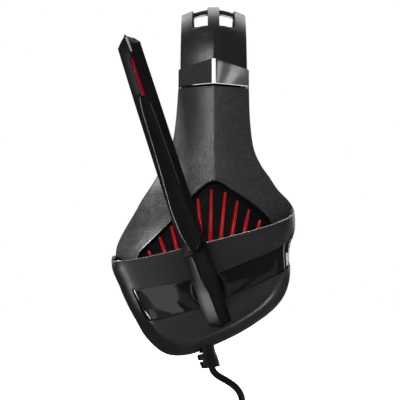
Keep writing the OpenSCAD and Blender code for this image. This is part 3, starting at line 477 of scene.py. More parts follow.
def addGrain(finish, scale, strength, depth, detail, kind="NOISE"):  # a fine bump
    nodes, links = finish.node_tree.nodes, finish.node_tree.links
    place = nodes.new("ShaderNodeTexCoord")
    if kind == "NOISE":
        grain = nodes.new("ShaderNodeTexNoise")
        grain.inputs["Detail"].default_value = detail
        height = grain.outputs["Fac"]
    else:
        grain = nodes.new("ShaderNodeTexVoronoi")
        grain.feature = "SMOOTH_F1"
        height = grain.outputs["Distance"]
    grain.inputs["Scale"].default_value = scale
    bump = nodes.new("ShaderNodeBump")
    bump.inputs["Strength"].default_value = strength
    bump.inputs["Distance"].default_value = depth * mm
    shader = nodes["Principled BSDF"]
    links.new(place.outputs["Object"], grain.inputs["Vector"])
    links.new(height, bump.inputs["Height"])
    if shader.inputs["Normal"].is_linked:
        links.new(shader.inputs["Normal"].links[0].from_socket, bump.inputs["Normal"])
    links.new(bump.outputs["Normal"], shader.inputs["Normal"])


def addMottle(finish, socket, scale, low, high, detail=2.0):  # slow change of a roughness or a colour
    nodes, links = finish.node_tree.nodes, finish.node_tree.links
    place = nodes.new("ShaderNodeTexCoord")
    cloud = nodes.new("ShaderNodeTexNoise")
    cloud.inputs["Scale"].default_value = scale
    cloud.inputs["Detail"].default_value = detail
    links.new(place.outputs["Object"], cloud.inputs["Vector"])
    shader = nodes["Principled BSDF"]
    if socket == "Base Color":
        ramp = nodes.new("ShaderNodeValToRGB")
        for stop, at, tone in zip(ramp.color_ramp.elements, mottleSpan, (low, high)):
            stop.position, stop.color = at, (*tone, 1)
        links.new(cloud.outputs["Fac"], ramp.inputs["Fac"])
        links.new(ramp.outputs["Color"], shader.inputs[socket])
    else:
        spread = nodes.new("ShaderNodeMapRange")
        for name, value in zip(("From Min", "From Max", "To Min", "To Max"), (*mottleSpan, low, high)):
            spread.inputs[name].default_value = value
        links.new(cloud.outputs["Fac"], spread.inputs["Value"])
        links.new(spread.outputs["Result"], shader.inputs[socket])


# rough and tones hold what addMottle takes after the socket, each grain what addGrain takes
def addFinish(slot, name, colour, roughness, rough=None, tones=None, grains=(), **sockets):
    finish = bpy.data.materials.new(name)
    finish.use_nodes = True
    shader = finish.node_tree.nodes["Principled BSDF"]
    shader.inputs["Base Color"].default_value = (*colour, 1)
    shader.inputs["Roughness"].default_value = roughness
    for socket, value in sockets.items():
        shader.inputs[socket.replace("_", " ")].default_value = value
    if rough:
        addMottle(finish, "Roughness", *rough)
    if tones:
        addMottle(finish, "Base Color", *tones)
    for grain in grains:
        addGrain(finish, *grain)
    finishes[slot] = finish


addFinish("dark_matte_shell", "powderShell", (0.022, 0.022, 0.023), 0.33, rough=(260, 0.28, 0.37),
          tones=(900, (0.016, 0.016, 0.017), (0.034, 0.034, 0.035), 3), grains=[(1300, 0.5, 0.12, 2)],
          Specular_IOR_Level=0.6)
addFinish("satinCup", "satinCup", (0.018, 0.018, 0.019), 0.36, rough=(180, 0.31, 0.4),
          tones=(60, (0.015, 0.015, 0.016), (0.022, 0.022, 0.023)), grains=[(2600, 0.16, 0.05, 2)],
          Specular_IOR_Level=0.5)
addFinish("black_plastic", "mouldedBlack", (0.02, 0.02, 0.021), 0.5, rough=(120, 0.45, 0.56),
          grains=[(1900, 0.3, 0.06, 2)])
addFinish("satin_black", "satinBoom", (0.017, 0.017, 0.018), 0.33, rough=(200, 0.29, 0.37),
          tones=(80, (0.014, 0.014, 0.015), (0.021, 0.021, 0.022)), grains=[(3000, 0.1, 0.04, 2)])
addFinish("gloss_black", "pianoBlack", (0.008, 0.008, 0.009), 0.06, rough=(40, 0.05, 0.08),
          grains=[(90, 0.04, 0.05, 1)], Coat_Weight=0.6, Coat_Roughness=0.03)
addFinish("chrome_ring", "smokedChrome", (0.62, 0.62, 0.64), 0.1, rough=(70, 0.07, 0.13),
          grains=[(60, 0.05, 0.1, 1)], Metallic=1.0)
addFinish("red_light_ribs", "redLight", (0.55, 0.006, 0.012), 0.28,
          tones=(140, (0.3, 0.003, 0.006), (0.5, 0.006, 0.012)), grains=[(500, 0.15, 0.05, 1)],
          Specular_IOR_Level=0.3, Emission_Color=(0.9, 0.01, 0.02, 1), Emission_Strength=0.15,
          Coat_Weight=0.2, Coat_Roughness=0.1)
addFinish("red_strip", "redStrip", (0.6, 0.006, 0.02), 0.22,
          tones=(220, (0.3, 0.003, 0.01), (0.48, 0.008, 0.025)), grains=[(420, 0.2, 0.05, 1)],
          Emission_Color=(0.9, 0.02, 0.04, 1), Emission_Strength=0.1, Coat_Weight=0.2)
# painted highlight: a white trim with a faint glow, standing in for the light that catches on the bevel at
# the boom's tip
addFinish("white_strip", "whiteStrip", (0.7, 0.7, 0.7), 0.25,
          tones=(120, (0.6, 0.6, 0.6), (0.75, 0.75, 0.75)), grains=[(500, 0.1, 0.04, 1)],
          Emission_Color=(1, 1, 1, 1), Emission_Strength=0.12)
addFinish("pad_leather", "blackLeather", (0.017, 0.017, 0.018), 0.46, rough=(150, 0.38, 0.54),
          tones=(70, (0.013, 0.013, 0.014), (0.024, 0.024, 0.025)),
          grains=[(620, 0.55, 0.22, 2, "VORONOI"), (160, 0.3, 0.3, 2)], Sheen_Weight=0.15,
          Sheen_Roughness=0.5)
addFinish("spring_steel", "springSteel", (0.45, 0.45, 0.46), 0.3, rough=(300, 0.24, 0.4),
          grains=[(900, 0.15, 0.03, 2)], Metallic=1.0)
addFinish("screw_steel", "screwSteel", (0.35, 0.35, 0.36), 0.35, rough=(400, 0.28, 0.42), Metallic=1.0)
# the recess floor's black plastic, made darker and duller than satin black: painted shade of the recess
addFinish("recess", "recessBlack", (0.006, 0.006, 0.006), 0.55, rough=(150, 0.5, 0.62),
          grains=[(1700, 0.3, 0.05, 2)], Specular_IOR_Level=0.12)
# painted highlight: a light grey finish for narrow edge faces, standing in for the highlights that catch
# along them
addFinish("edge", "polishedEdge", (0.5, 0.5, 0.5), 0.25, tones=(90, (0.3, 0.3, 0.3), (0.62, 0.62, 0.62)))
addFinish("wire_cover", "wireCover", (0.2, 0.01, 0.012), 0.5,
          tones=(200, (0.16, 0.008, 0.01), (0.24, 0.014, 0.015)))
addFinish("circuit_board", "circuitBoard", (0.01, 0.08, 0.03), 0.35,
          tones=(500, (0.006, 0.06, 0.02), (0.02, 0.12, 0.05)))
addFinish("driver_metal", "driverMetal", (0.4, 0.4, 0.41), 0.36, rough=(250, 0.3, 0.45), Metallic=1.0)
addFinish("driver_cone", "driverCone", (0.3, 0.24, 0.15), 0.3,
          tones=(120, (0.26, 0.2, 0.12), (0.34, 0.28, 0.18)), Coat_Weight=0.4)
addFinish("speaker_cloth", "speakerCloth", (0.02, 0.02, 0.022), 0.85,
          tones=(300, (0.014, 0.014, 0.015), (0.03, 0.03, 0.032)), grains=[(1500, 0.7, 0.25, 1, "VORONOI")],
          Sheen_Weight=0.3)
addFinish("cord_rubber", "cordRubber", (0.004, 0.004, 0.004), 0.45, rough=(200, 0.42, 0.58),
          grains=[(1600, 0.25, 0.06, 2)], Specular_IOR_Level=0.2)
addFinish("hook_tie", "hookTie", (0.02, 0.02, 0.021), 0.9,
          tones=(400, (0.014, 0.014, 0.015), (0.03, 0.03, 0.03)), grains=[(900, 0.8, 0.3, 2)],
          Sheen_Weight=0.4)
addFinish("gold_contact", "goldContact", (0.85, 0.6, 0.25), 0.22, rough=(500, 0.16, 0.3), Metallic=1.0)
slotOf = {row["node"]: row["material_slot"] for row in frame["record"]["subparts"]}
for nodeName, node in frame["nodes"].items():
    dress(node, finishes[slotOf[nodeName]])
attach(cordPiece, "left_cup")
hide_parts("cord_tube", "cord_coil")
dress(cordPiece, finishes["cord_rubber"])
print("finishes made")


# ---- headband: the shell with its crown slots, the chrome rings
band = {"radius": 73, "centreZ": 82, "half": 19.5, "drop": 5, "bow": 1.5, "rib": 3.5, "slotOut": 13,
        "crossbar": 4.5, "slotAngle": 39, "slotRound": 2.2, "endAngle": 73.4, "wall": 2.5, "edge": 0.45,
        "creaseFrom": 40, "creaseTo": 48, "barDrop": 1.5, "barIn": 0.5, "barOut": 0.9, "barTo": 4.2,
        "barFade": 1, "fineRow": 0.55, "slotSlack": 0.1, "crownZ": 0.15}
barAngle = math.degrees(math.asin(band["crossbar"] / band["radius"]))  # where the bar between the slots ends
lean = 14.0
tangentY = band["radius"] * math.cos(math.radians(lean))
tangentZ = band["centreZ"] + band["radius"] * math.sin(math.radians(lean))


def bandPoint(x, angle, height):  # the angle is in degrees from the crown, positive to the left
    a, r = math.radians(angle), band["radius"] + height
    return (x, -r * math.sin(a), band["centreZ"] + r * math.cos(a))


straight, bowed = 0.42, 0.58  # the two shares of a facet's fall


def facetFall(share):  # a facet that is flattest at its crease
    return straight * share + bowed * share * share


def bandHeight(x, angle):  # a flat rib at the crown that becomes a crease below the slots
    side, rib, out = abs(x), band["rib"], band["slotOut"]
    ribbed = -band["drop"] * (max(0, side - rib) / (band["half"] - rib)) ** band["bow"]
    creased = -band["drop"] * facetFall(side / band["half"])
    low = band["barDrop"] * (ease(side, rib, rib + band["barIn"]) - ease(side, out - band["barOut"], out))
    ribbed -= low * (1 - ease(abs(angle), band["barTo"], band["barTo"] + band["barFade"]))
    return mix(ribbed, creased, ease(abs(angle), band["creaseFrom"], band["creaseTo"]))


bandColumns = [-18.9, -19.02, -19.15, -19.28, -19.4, -19.5, -19.45, -19.2, -18.8, -18.2, -17.2, -16.2,
               -15.2, -14.2, -13.4, -13, -12.4, -11.8, -11.2, -10.4, -9.4, -8.4, -7.4, -6.4, -5.7, -5.1,
               -4.5, -3.9, -3.5, -3.2, -2.4, -1.4, -0.7, -0.3, 0]
bandColumns += [-x for x in reversed(bandColumns[:-1])]
bandLegs = {0: -12, 1: -10.2, 2: -8.6, 3: -7.2, 4: -6.1, 5: -5.4, 6: -5.05}  # heights of the first columns


def bandRows():  # angles from end to end, close together at the bar and where the slots end
    near, far, fine = barAngle, band["slotAngle"], band["fineRow"]
    marks = [-near + near * i / 4 for i in range(9)][4:]
    marks += [near + fine * i for i in (1, 2, 3, 4)]
    rest = (far - near - 8 * fine) / 16
    marks += [near + 4 * fine + rest * i for i in range(1, 17)]
    marks += [far - 3 * fine, far - 2 * fine, far - fine, far]
    marks += [far + (band["endAngle"] - far) * i / 26 for i in range(1, 27)]
    return [-a for a in reversed(marks[1:])] + marks


def roundSlot(x, angle):  # the outer corners of a slot move onto an arc, those at the rib stay square
    r, scale, slack = band["slotRound"], math.radians(band["radius"]), 1e-6
    px, pa = abs(x), abs(angle) * scale
    centreX = band["slotOut"] - r
    for end, inwards in ((barAngle * scale, 1), (band["slotAngle"] * scale, -1)):
        centreA = end + inwards * r
        dx, da = centreX - px, centreA - pa
        if min(-dx, da * inwards, band["slotOut"] - px, (pa - end) * inwards) >= -slack:
            far = math.hypot(dx, da)
            if far > r:
                px, pa = centreX - dx * r / far, centreA - da * r / far
    return math.copysign(px, x), math.copysign(pa / scale, angle)


def buildBandShell():
    rows = bandRows()
    across, along = len(bandColumns) - 1, len(rows) - 1

    def place(s, t):
        i = round(s * across)
        angle = rows[round((1 - t) * along)]
        x = bandColumns[i]
        leg = min(i, across - i)
        if leg in bandLegs:
            return bandPoint(x, angle, bandLegs[leg])
        x, angle = roundSlot(x, angle)
        return bandPoint(x, angle, bandHeight(x, angle))

    # seen from the left the rows run up to the crown and over it
    shell = surfaceGrid("headbandShell", across, along, place)
    pick(shell)
    bpy.ops.object.mode_set(mode="EDIT")
    bpy.ops.mesh.select_all(action="DESELECT")
    bpy.ops.object.mode_set(mode="OBJECT")
    for face in shell.data.polygons:  # the slots are cut out
        x, y, z = (c / mm for c in face.center)
        angle = abs(math.degrees(math.atan2(y, z - band["centreZ"])))
        inSlot = band["rib"] < abs(x) < band["slotOut"] - band["slotSlack"]
        face.select = inSlot and barAngle < angle < band["slotAngle"]
    bpy.ops.object.mode_set(mode="EDIT")
    bpy.ops.mesh.delete(type="FACE")
    bpy.ops.object.mode_set(mode="OBJECT")
    closeUp(shell)
    if sum(face.normal.z for face in shell.data.polygons if face.center.z > band["crownZ"]) < 0:
        shell.data.flip_normals()
    addWall(shell, band["wall"])
    easeEdges(shell, band["edge"], 3, 50)
    smooth(shell, 32)
    mount(shell, "headband", "dark_matte_shell", "band_shell")


ring = {"topCrest": 61.2, "topSide": 65.0, "low": 74.2, "reach": 20.5, "crest": 1.05, "side": -4.1,
        "tuck": -11, "tuckIn": 0.1, "ridge": 1.0, "bow": 1.1, "skin": 0.95, "edge": 0.55, "rows": 14}


def ringHeight(x):  # two flat facets with an eased ridge between them
    side = max(0, abs(x) - ring["ridge"]) / (ring["reach"] - ring["ridge"])
    return ring["crest"] + (ring["side"] - ring["crest"]) * side ** ring["bow"]


def buildRings():
    reach = ring["reach"]
    columns = [(-reach + ring["tuckIn"], ring["tuck"])]
    columns += [(-reach, height) for height in (-9, -7, -5.4, ring["side"])]
    columns += [(x, ringHeight(x)) for x in (-19, -17, -14, -11, -8, -5, -3, -1.6, -ring["ridge"], -0.4, 0)]
    columns += [(-x, h) for x, h in reversed(columns[:-1])]
    across = len(columns) - 1

    def place(s, t):
        x, height = columns[round(s * across)]
        top = mix(ring["topCrest"], ring["topSide"], abs(x) / reach)
        return bandPoint(x, mix(ring["low"], top, t), height)

    hoop = surfaceGrid("leftRing", across, ring["rows"], place)
    addWall(hoop, ring["skin"])
    easeEdges(hoop, ring["edge"], 2, 50)
    smooth(hoop, 8)
    twin = mirrorCopy(hoop, "rightRing")
    for piece, node in ((hoop, "left_ring"), (twin, "right_ring")):
        mount(piece, "headband", "chrome_ring", node)


buildBandShell()
buildRings()
print("headband shell and rings made")


# ---- cups: the raked frame and the rim that arms, covers and panels share
cup = {"w": 108, "h": 97, "rake": 14.4, "forward": 1.6, "faceY": 95, "rimY": 68, "round": 16, "power": 3.5,
       "wall": 2.4, "beltTop": 11.7, "beltSlope": 0.3, "beltAbove": 2}
cupShape = [(-1, 0.24), (-0.995, -0.06), (-0.94, -0.38), (-0.865, -0.68), (-0.71, -0.92), (-0.48, -1),
            (-0.2, -0.97), (0.12, -0.9), (0.42, -0.785), (0.62, -0.65), (0.74, -0.48), (0.83, -0.24),
            (0.9, -0.03), (0.97, 0.14), (1, 0.36), (0.93, 0.6), (0.72, 0.84), (0.38, 0.97), (0, 1),
            (-0.3, 0.93), (-0.58, 0.79), (-0.79, 0.585), (-0.93, 0.41)]
rakeSin, rakeCos = math.sin(math.radians(cup["rake"])), math.cos(math.radians(cup["rake"]))


def cupPlace(u, y, v):  # u runs backwards and v up on the raked cup
    return (u * rakeCos - v * rakeSin - cup["forward"], -y, u * rakeSin + v * rakeCos)


def cupLine(x, z):  # u and v of a place on the raked cup
    across = x + cup["forward"]
    return across * rakeCos + z * rakeSin, z * rakeCos - across * rakeSin


def lineZ(x, v):  # height above the ears of the line along the cup at v
    return (v + (x + cup["forward"]) * rakeSin) / rakeCos


def polarTable(outline):
    rows = [(math.degrees(math.atan2(v, u)) % 360, math.hypot(u, v)) for u, v in outline]
    rows.sort()
    return Table([(rows[-1][0] - 360, rows[-1][1])] + rows + [(rows[0][0] + 360, rows[0][1])])


rimTable = polarTable([(u * cup["w"] / 2, v * cup["h"] / 2) for u, v in closedCurve(cupShape, 8)])


def rimRadius(u, v):
    return rimTable.at(math.degrees(math.atan2(v, u)) % 360)


def cupFaceY(u, v):  # the CAD dome
    k = clamp(math.hypot(u, v) / rimRadius(u, v))
    return cup["faceY"] - cup["round"] * (1 - max(0, 1 - k ** cup["power"]) ** (1 / cup["power"]))


# ---- arms: creased at the neck, flared to the cups, with the V-shaped recess
arm = {"halfNeck": 20.5, "neckDrop": 5.5, "topGap": 0.9, "flareY": 76.2, "frontIn": 2, "backIn": 5.8,
       "wall": 2.3, "lip": 0.5, "rimFold": 10.9, "rimTuck": 0.6, "rimLow": 52, "rimHigh": 76, "recess": 4.0,
       "bezelWall": 1.5, "roundTo": 18, "creaseFrom": 46, "round": 2.5, "footFront": 4, "footBack": 6,
       "sunk": 3.6, "sunkFront": 2, "sunkBack": 1, "rows": 64, "rowBow": 0.9, "topBow": 1.2,
       "foldColumns": 5, "foldBow": 0.8, "foldIn": 0.995}
armTopZ = band["centreZ"] + band["radius"] * math.cos(math.radians(ring["low"])) - arm["topGap"]
leanTan, leanSin = math.tan(math.radians(lean)), math.sin(math.radians(lean))
beltSideV = cup["beltTop"] + cup["beltSlope"] * (cup["faceY"] - arm["flareY"])
flareFront = cup["w"] / 2 + cup["forward"] - arm["frontIn"]
flareBack = cup["w"] / 2 - cup["forward"] - cup["wall"] - arm["backIn"]
flareFrontZ, flareBackZ = lineZ(-flareFront, beltSideV), lineZ(flareBack, beltSideV)
frontFlare = Table(openCurve([(0, 0), (0.2, 0.04), (0.36, 0.11), (0.47, 0.25), (0.565, 0.4), (0.625, 0.51),
                              (0.684, 0.626), (0.743, 0.72), (0.803, 0.823), (0.862, 0.925), (0.922, 1.015),
                              (0.98, 1.07), (1.1, 1.09), (1.3, 1.09)], 6))
backFlare = Table(openCurve([(0, 0), (0.27, 0.02), (0.5, 0.1), (0.64, 0.27), (0.74, 0.48), (0.84, 0.68),
                             (0.93, 0.94), (1, 1.07), (1.06, 1.08), (1.5, 1.08)], 10))


def crestY(z):
    return tangentY + (tangentZ - z) * leanTan


def armHalf(side, z):
    if side < 0:
        return mix(arm["halfNeck"], flareFront, frontFlare.at((armTopZ - z) / (armTopZ - flareFrontZ)))
    return mix(arm["halfNeck"], flareBack, backFlare.at((armTopZ - z) / (armTopZ - flareBackZ)))


def edgeY(z):
    return min(arm["flareY"], crestY(z) - arm["neckDrop"])


def rimY(z):
    low = arm["flareY"] - arm["rimTuck"]
    high = crestY(arm["rimHigh"]) - arm["rimFold"]
    if z > arm["rimHigh"]:
        return crestY(z) - arm["rimFold"]
    return mix(low, high, clamp((z - arm["rimLow"]) / (arm["rimHigh"] - arm["rimLow"])))


def armFaceY(x, z):  # creased at the neck, round where it flares
    share = min(1, abs(x) / armHalf(x, z))
    fall = mix(share ** arm["round"], facetFall(share), ease(z, arm["roundTo"], arm["creaseFrom"]))
    return crestY(z) - (crestY(z) - edgeY(z)) * fall


recessLine = [(-42.3, 5.5), (-21.3, 26.4), (-11.3, 38.6), (0, 46.1), (11.8, 40.4), (24.3, 32.2), (32.6, 24.3)]
recessEdge = openCurve(recessLine, 8)


def lowerEdge():  # round the recess, and down behind the belt at both flares
    start, end = recessEdge[0], recessEdge[-1]
    frontZ, backZ = flareFrontZ - arm["footFront"], flareBackZ - arm["footBack"]
    frontX, backX = -armHalf(-1, frontZ), armHalf(1, backZ)
    startZ = start[1] - arm["sunk"] - arm["sunkFront"]
    endZ = end[1] - arm["sunk"] - arm["sunkBack"]
    shares = [i / 8 for i in range(8)]
    return ([(mix(frontX, start[0], t), mix(frontZ, startZ, t)) for t in shares] + recessEdge
            + [(mix(backX, end[0], t), mix(backZ, endZ, t)) for t in reversed(shares)])


def buildArmShell():
    edge = lowerEdge()
    last, folds = len(edge) - 1, arm["foldColumns"]

    def place(s, t):
        column = s * (last + 2 * folds) - folds
        j = clamp(column, 0, last)
        over = abs(column - j) / folds  # how far round the folded rim
        foot = edge[round(j)]
        high = -1 + 2 * j / last
        down = (1 - t) ** arm["rowBow"]
        topZ = armTopZ - arm["neckDrop"] * leanSin * abs(high) ** arm["topBow"]
        z = mix(topZ, foot[1], down)
        share = mix(high, foot[0] / armHalf(foot[0], foot[1]), down)
        x = share * armHalf(share, z)
        y = armFaceY(x, z)
        if over > 0:
            turned = over ** arm["foldBow"]
            drop = clamp((z - arm["rimLow"]) / (arm["rimHigh"] - arm["rimLow"]))
            y = mix(y, rimY(z), turned)
            x *= mix(1, arm["foldIn"], turned)
            z -= (edgeY(z) - rimY(z)) * leanTan * drop * turned
        return (x, -y, z)

    shell = surfaceGrid("leftArmShell", last + 2 * folds, arm["rows"], place)
    addWall(shell, arm["wall"])
    easeEdges(shell, arm["lip"], 3, 50)
    smooth(shell, 30)
    mountPair(shell, "arm", "dark_matte_shell", "arm_shell")


# ---- recess floor with its ledge, and the light ribs
ledge = {"v": 14.9, "slope": 1.6, "rise": 1.9, "tuck": 1.5, "floorFoot": 8.9, "floorDraw": 0.7,
         "drawOver": 4, "rows": 60}


def floorY(x, z):
    v = cupLine(x, z)[1]
    raised = ledge["rise"] * (1 - ease(v, ledge["v"] - ledge["slope"], ledge["v"]))
    return armFaceY(x, z) - arm["recess"] + raised


def buildRecessFloor():
    last = len(recessEdge) - 1

    def place(s, t):
        x, top = recessEdge[round(s * last)]
        low = lineZ(x, ledge["floorFoot"])
        z = mix(top + ledge["tuck"], low, 1 - t)
        # room for the belt when the cup tilts
        draw = ledge["floorDraw"] * (1 - ease(z - low, 0, ledge["drawOver"]))
        return (x, -floorY(x, z) + draw, z)

    floor = surfaceGrid("leftRecessFloor", last, ledge["rows"], place)
    addWall(floor, arm["bezelWall"])
    smooth(floor, 25)
    # the recess floor takes the darker black that paints the recess's shade
    mountPair(floor, "arm", "satin_black", "rib_bezel", finish="recess")


ribs = {"foot": [-35, -27, -20.2, -13.3, -6.7, -1.9, 3.9, 10.1, 16.9, 24.6],
        "long": [3.2, 9.2, 13.7, 19.5, 25.2, 29, 26, 19.8, 13, 5.3],
        "lean": [-24, -20, -14.5, -9.5, -4.8, 1, 5.4, 9, 12.3, 15.5],
        "footR": 1.32, "tipR": 0.72, "sunk": 1.5, "gap": 0.2, "edgeShare": 0.8}


def buildRibs():
    made = []
    for x, long, turn in zip(ribs["foot"], ribs["long"], ribs["lean"]):
        z = lineZ(x, cup["beltTop"] - ribs["sunk"])
        long += ribs["sunk"]
        tipX, tipZ = x + long * math.sin(math.radians(turn)), z + long * math.cos(math.radians(turn))
        foot = Vector((x, -armFaceY(x, z) + arm["recess"] - ribs["footR"] - ribs["gap"], z))
        tip = Vector((tipX, -armFaceY(tipX, tipZ) + arm["recess"] - ribs["tipR"] - ribs["gap"], tipZ))
        way = tip - foot
        deselectAll()
        bpy.ops.mesh.primitive_cone_add(vertices=24, radius1=ribs["footR"] * mm, radius2=ribs["tipR"] * mm,
                                        depth=way.length * mm)
        rod = bpy.context.object
        rod.rotation_euler = way.to_track_quat("Z", "Y").to_euler()
        rod.location = (foot + tip) / 2 * mm
        placeInMesh(rod)
        easeEdges(rod, ribs["tipR"] * ribs["edgeShare"], 4, 60)
        made.append(rod)
    deselectAll()
    for rod in made:
        rod.select_set(True)
    bpy.context.view_layer.objects.active = made[0]
    bpy.ops.object.join()
    row = bpy.context.object
    row.name = "leftLightRibs"
    smooth(row, 50)
    mountPair(row, "arm", "red_light_ribs", "light_ribs")


buildArmShell()
buildRecessFloor()
buildRibs()
print("arms, recess floors and light ribs made")


# ---- cup covers: belt, gloss panel pocket, lower crease, wall
cover = {"hornFront": 1.2, "hornBack": 1.6, "columns": 110, "innerRows": 44, "outerRows": 10, "rowBow": 1.35,
         "creaseFrom": 0.5, "creaseAt": 0.82, "creaseDrop": 2.3, "creaseBow": 1.7, "creaseFade": (14, 30),
         "frontPush": 1.4, "frontFade": (38, 52), "frontRise": (-2, 11), "backPull": 1.1,
         "backFade": (37, 48), "backRise": (-30, -12), "waist": 0.9, "waistAt": -6, "waistWide": 7,
         "wall": 2.3, "edge": 0.5, "stray": 0.3}
panelSizes = {"sink": 1.0, "rise": 0.35, "thick": 0.9, "edge": 0.1, "back": 50.5, "corner": 3.2,
              "pocketGrow": 0.3, "pocketOut": 3.0}
panelHigh = Table([(-47, -4.2), (-31, -5.3), (-13, -6.9), (4, -6.9), (18, -5.0), (27, -4.0), (37, -2.3),
                   (48, 0.4)])
panelLow = Table([(-47, -23.2), (-37, -23.7), (-13, -23.2), (3, -21.4), (21, -18.4), (38, -15.2),
                  (48, -11.8)])
panelFront = (-46.8, -43.4)  # the slanted front end, at its upper and its lower corner


def coverPoint(u, v):  # the belt stands out a little at the front, the back is drawn in behind the panel
    x, y, z = coverShape(u, v)
    push = cover["frontPush"] * ease(-u, *cover["frontFade"]) * ease(v, *cover["frontRise"])
    waist = cover["waist"] * math.exp(-((v - cover["waistAt"]) / cover["waistWide"]) ** 2)
    pull = ease(u, *cover["backFade"]) * (cover["backPull"] + waist) * ease(v, *cover["backRise"])
    return (x - push - pull, y, z)


def coverShape(u, v):  # past the rim the surface goes on down the side
    reach, rim = math.hypot(u, v), rimRadius(u, v)
    k = reach / rim
    if k > 1:
        return cupPlace(u / k, cup["faceY"] - cup["round"] - (reach - rim), v / k)
    y = cupFaceY(u, v)
    if v < 0 and k > cover["creaseFrom"]:  # the front face turns under at a crease
        at, drop = cover["creaseAt"], cover["creaseDrop"]
        if k < at:
            flat = drop * ease(k, cover["creaseFrom"], at)
        else:
            flat = drop + (cup["round"] - drop) * ((k - at) / (1 - at)) ** cover["creaseBow"]
        y = mix(y, cup["faceY"] - flat, ease(-v, *cover["creaseFade"]))
    return cupPlace(u, y, v)


def coverNormal(u, v):
    step = 0.25
    here = Vector(coverPoint(u, v))
    a = Vector(coverPoint(u + step, v)) - Vector(coverPoint(u - step, v))
    b = Vector(coverPoint(u, v + step)) - Vector(coverPoint(u, v - step))
    return here, a.cross(b).normalized()


def beltV(u):
    face = cupFaceY(u, cup["beltTop"] + cup["beltAbove"])
    return cup["beltTop"] + cup["beltSlope"] * (cup["faceY"] - face)


hornAngle = math.degrees(math.atan2(beltSideV, cup["w"] / 2))


def coverPlace(s, t):
    rows = cover["innerRows"] + cover["outerRows"]
    row = (1 - t) * rows
    angle = math.radians(180 - hornAngle + (180 + 2 * hornAngle) * s)
    rim = rimRadius(math.cos(angle), math.sin(angle))
    low = (rim * math.cos(angle), rim * math.sin(angle))
    highU = -(cup["w"] / 2 - mix(cover["hornFront"], cover["hornBack"], s)) * math.cos(math.pi * s)
    high = (highU, beltV(highU))
    if row <= cover["innerRows"]:
        share = row / cover["innerRows"]
        share = 1 - (1 - share) ** cover["rowBow"]
        return coverPoint(mix(high[0], low[0], share), mix(high[1], low[1], share))
    past = (row - cover["innerRows"]) / cover["outerRows"] * (cup["faceY"] - cup["round"] - cup["rimY"])
    grow = (rim + past) / rim
    return coverPoint(low[0] * grow, low[1] * grow)


def panelPlace(s, t, grow):  # a point of the panel's outline in u and v, grown all round
    front = mix(*panelFront, clamp(1 - t)) - grow
    u = mix(front, panelSizes["back"] + grow, s)
    high, low = panelHigh.at(u) + grow, panelLow.at(u) - grow
    v = mix(low, high, t)
    corner = panelSizes["corner"]  # rounded at the lower front
    du, dv = corner - (u - (panelFront[1] - grow)), corner - (v - low)
    if du > 0 and dv > 0 and t < 0.5:
        far = math.hypot(du, dv)
        if far > corner:
            u, v = u + du * (1 - corner / far), v + dv * (1 - corner / far)
    return u, v


def panelSlab(name, grow, out, deep):  # between two levels off the cover's face
    def level(off):
        def place(s, t):
            here, n = coverNormal(*panelPlace(s, t, grow))
            return here + n * off
        return place

    front = surfaceGrid(name, 90, 20, level(out))
    back = surfaceGrid(name + "Back", 90, 20, level(out - deep))
    return bridgeSheets(front, back)


# pairs are the inner and the outer end of a cylinder
hub = {"u": -5.2, "v": -13.4, "r": 9.6, "disc": (96.9, 99.9), "edge": 0.7, "spindleR": 3.0,
       "spindle": (89, 97.2), "socketR": 5.6, "flangeR": 10.2, "flangeGap": 0.4, "cut": (60, 100),
       "grooveR": 8.3, "groove": (99.4, 101), "coreR": 7.7, "core": (99, 102)}


def hubCylinder(name, ends, r, vertices=64):
    y0, y1 = ends
    deselectAll()
    bpy.ops.mesh.primitive_cylinder_add(vertices=vertices, radius=r * mm, depth=(y1 - y0) * mm,
                                        location=Vector(cupPlace(hub["u"], (y0 + y1) / 2, hub["v"])) * mm,
                                        rotation=(math.radians(90), 0, 0))
    rod = bpy.context.object
    rod.name = name
    return placeInMesh(rod)


beltShine = {"near": 1.0, "up": (0.3, 0.93), "outwards": 0.2, "fromY": 85}


def onBeltEdge(centre, normal):  # the fine faces along the belt's top edge, which get the painted highlight
    u, v = cupLine(centre.x, centre.z)
    low, high = beltShine["up"]
    outwards = normal.y * math.copysign(1, centre.y)
    return (low < normal.z < high and outwards > beltShine["outwards"] and abs(centre.y) > beltShine["fromY"]
            and abs(v - beltV(u)) < beltShine["near"])


def buildCover(side):
    shell = surfaceGrid(side + "CupCover", cover["columns"], cover["innerRows"] + cover["outerRows"],
                        coverPlace)
    addWall(shell, cover["wall"], even=False)
    tree = BVHTree.FromPolygons([v.co.copy() for v in shell.data.vertices],
                                [tuple(face.vertices) for face in shell.data.polygons])
    easeEdges(shell, cover["edge"], 3, 48, clamped=False)
    for v in shell.data.vertices:  # points that the rounding threw off the surface go back to it
        near, _, _, gap = tree.find_nearest(v.co)
        if gap > cover["stray"] * mm:
            v.co = near
    sink, rise, out = panelSizes["sink"], panelSizes["rise"], panelSizes["pocketOut"]
    cutAway(shell, panelSlab("pocket", panelSizes["pocketGrow"], out, out + sink + rise))
    if side == "left":
        cutAway(shell, hubCylinder("socketHole", hub["cut"], hub["socketR"]))
        cutAway(shell, bootHole())
    smooth(shell, 30)
    panel = panelSlab(side + "CupPanel", 0, rise - sink, panelSizes["thick"])
    if side == "left":
        cutAway(panel, hubCylinder("hubHole", hub["cut"], hub["flangeR"] + hub["flangeGap"]))
    easeEdges(panel, panelSizes["edge"], 2, 48)
    smooth(panel, 30)
    if side == "right":
        mirror(shell)
        mirror(panel)
    mount(shell, side + "_cup", "dark_matte_shell", side + "_cup_cover", finish="satinCup")
    # painted highlight along the belt's top edge
    paintHighlightOnFaces(shell, onBeltEdge)
    mount(panel, side + "_cup", "gloss_black", side + "_cup_panel")


boot = {"lean": 12.8, "holeR": 4.75, "holeLong": 30, "middleX": -0.4, "middleY": -80, "widerX": 0.5,
        "widerY": 0.25, "from": 50, "to": 55}


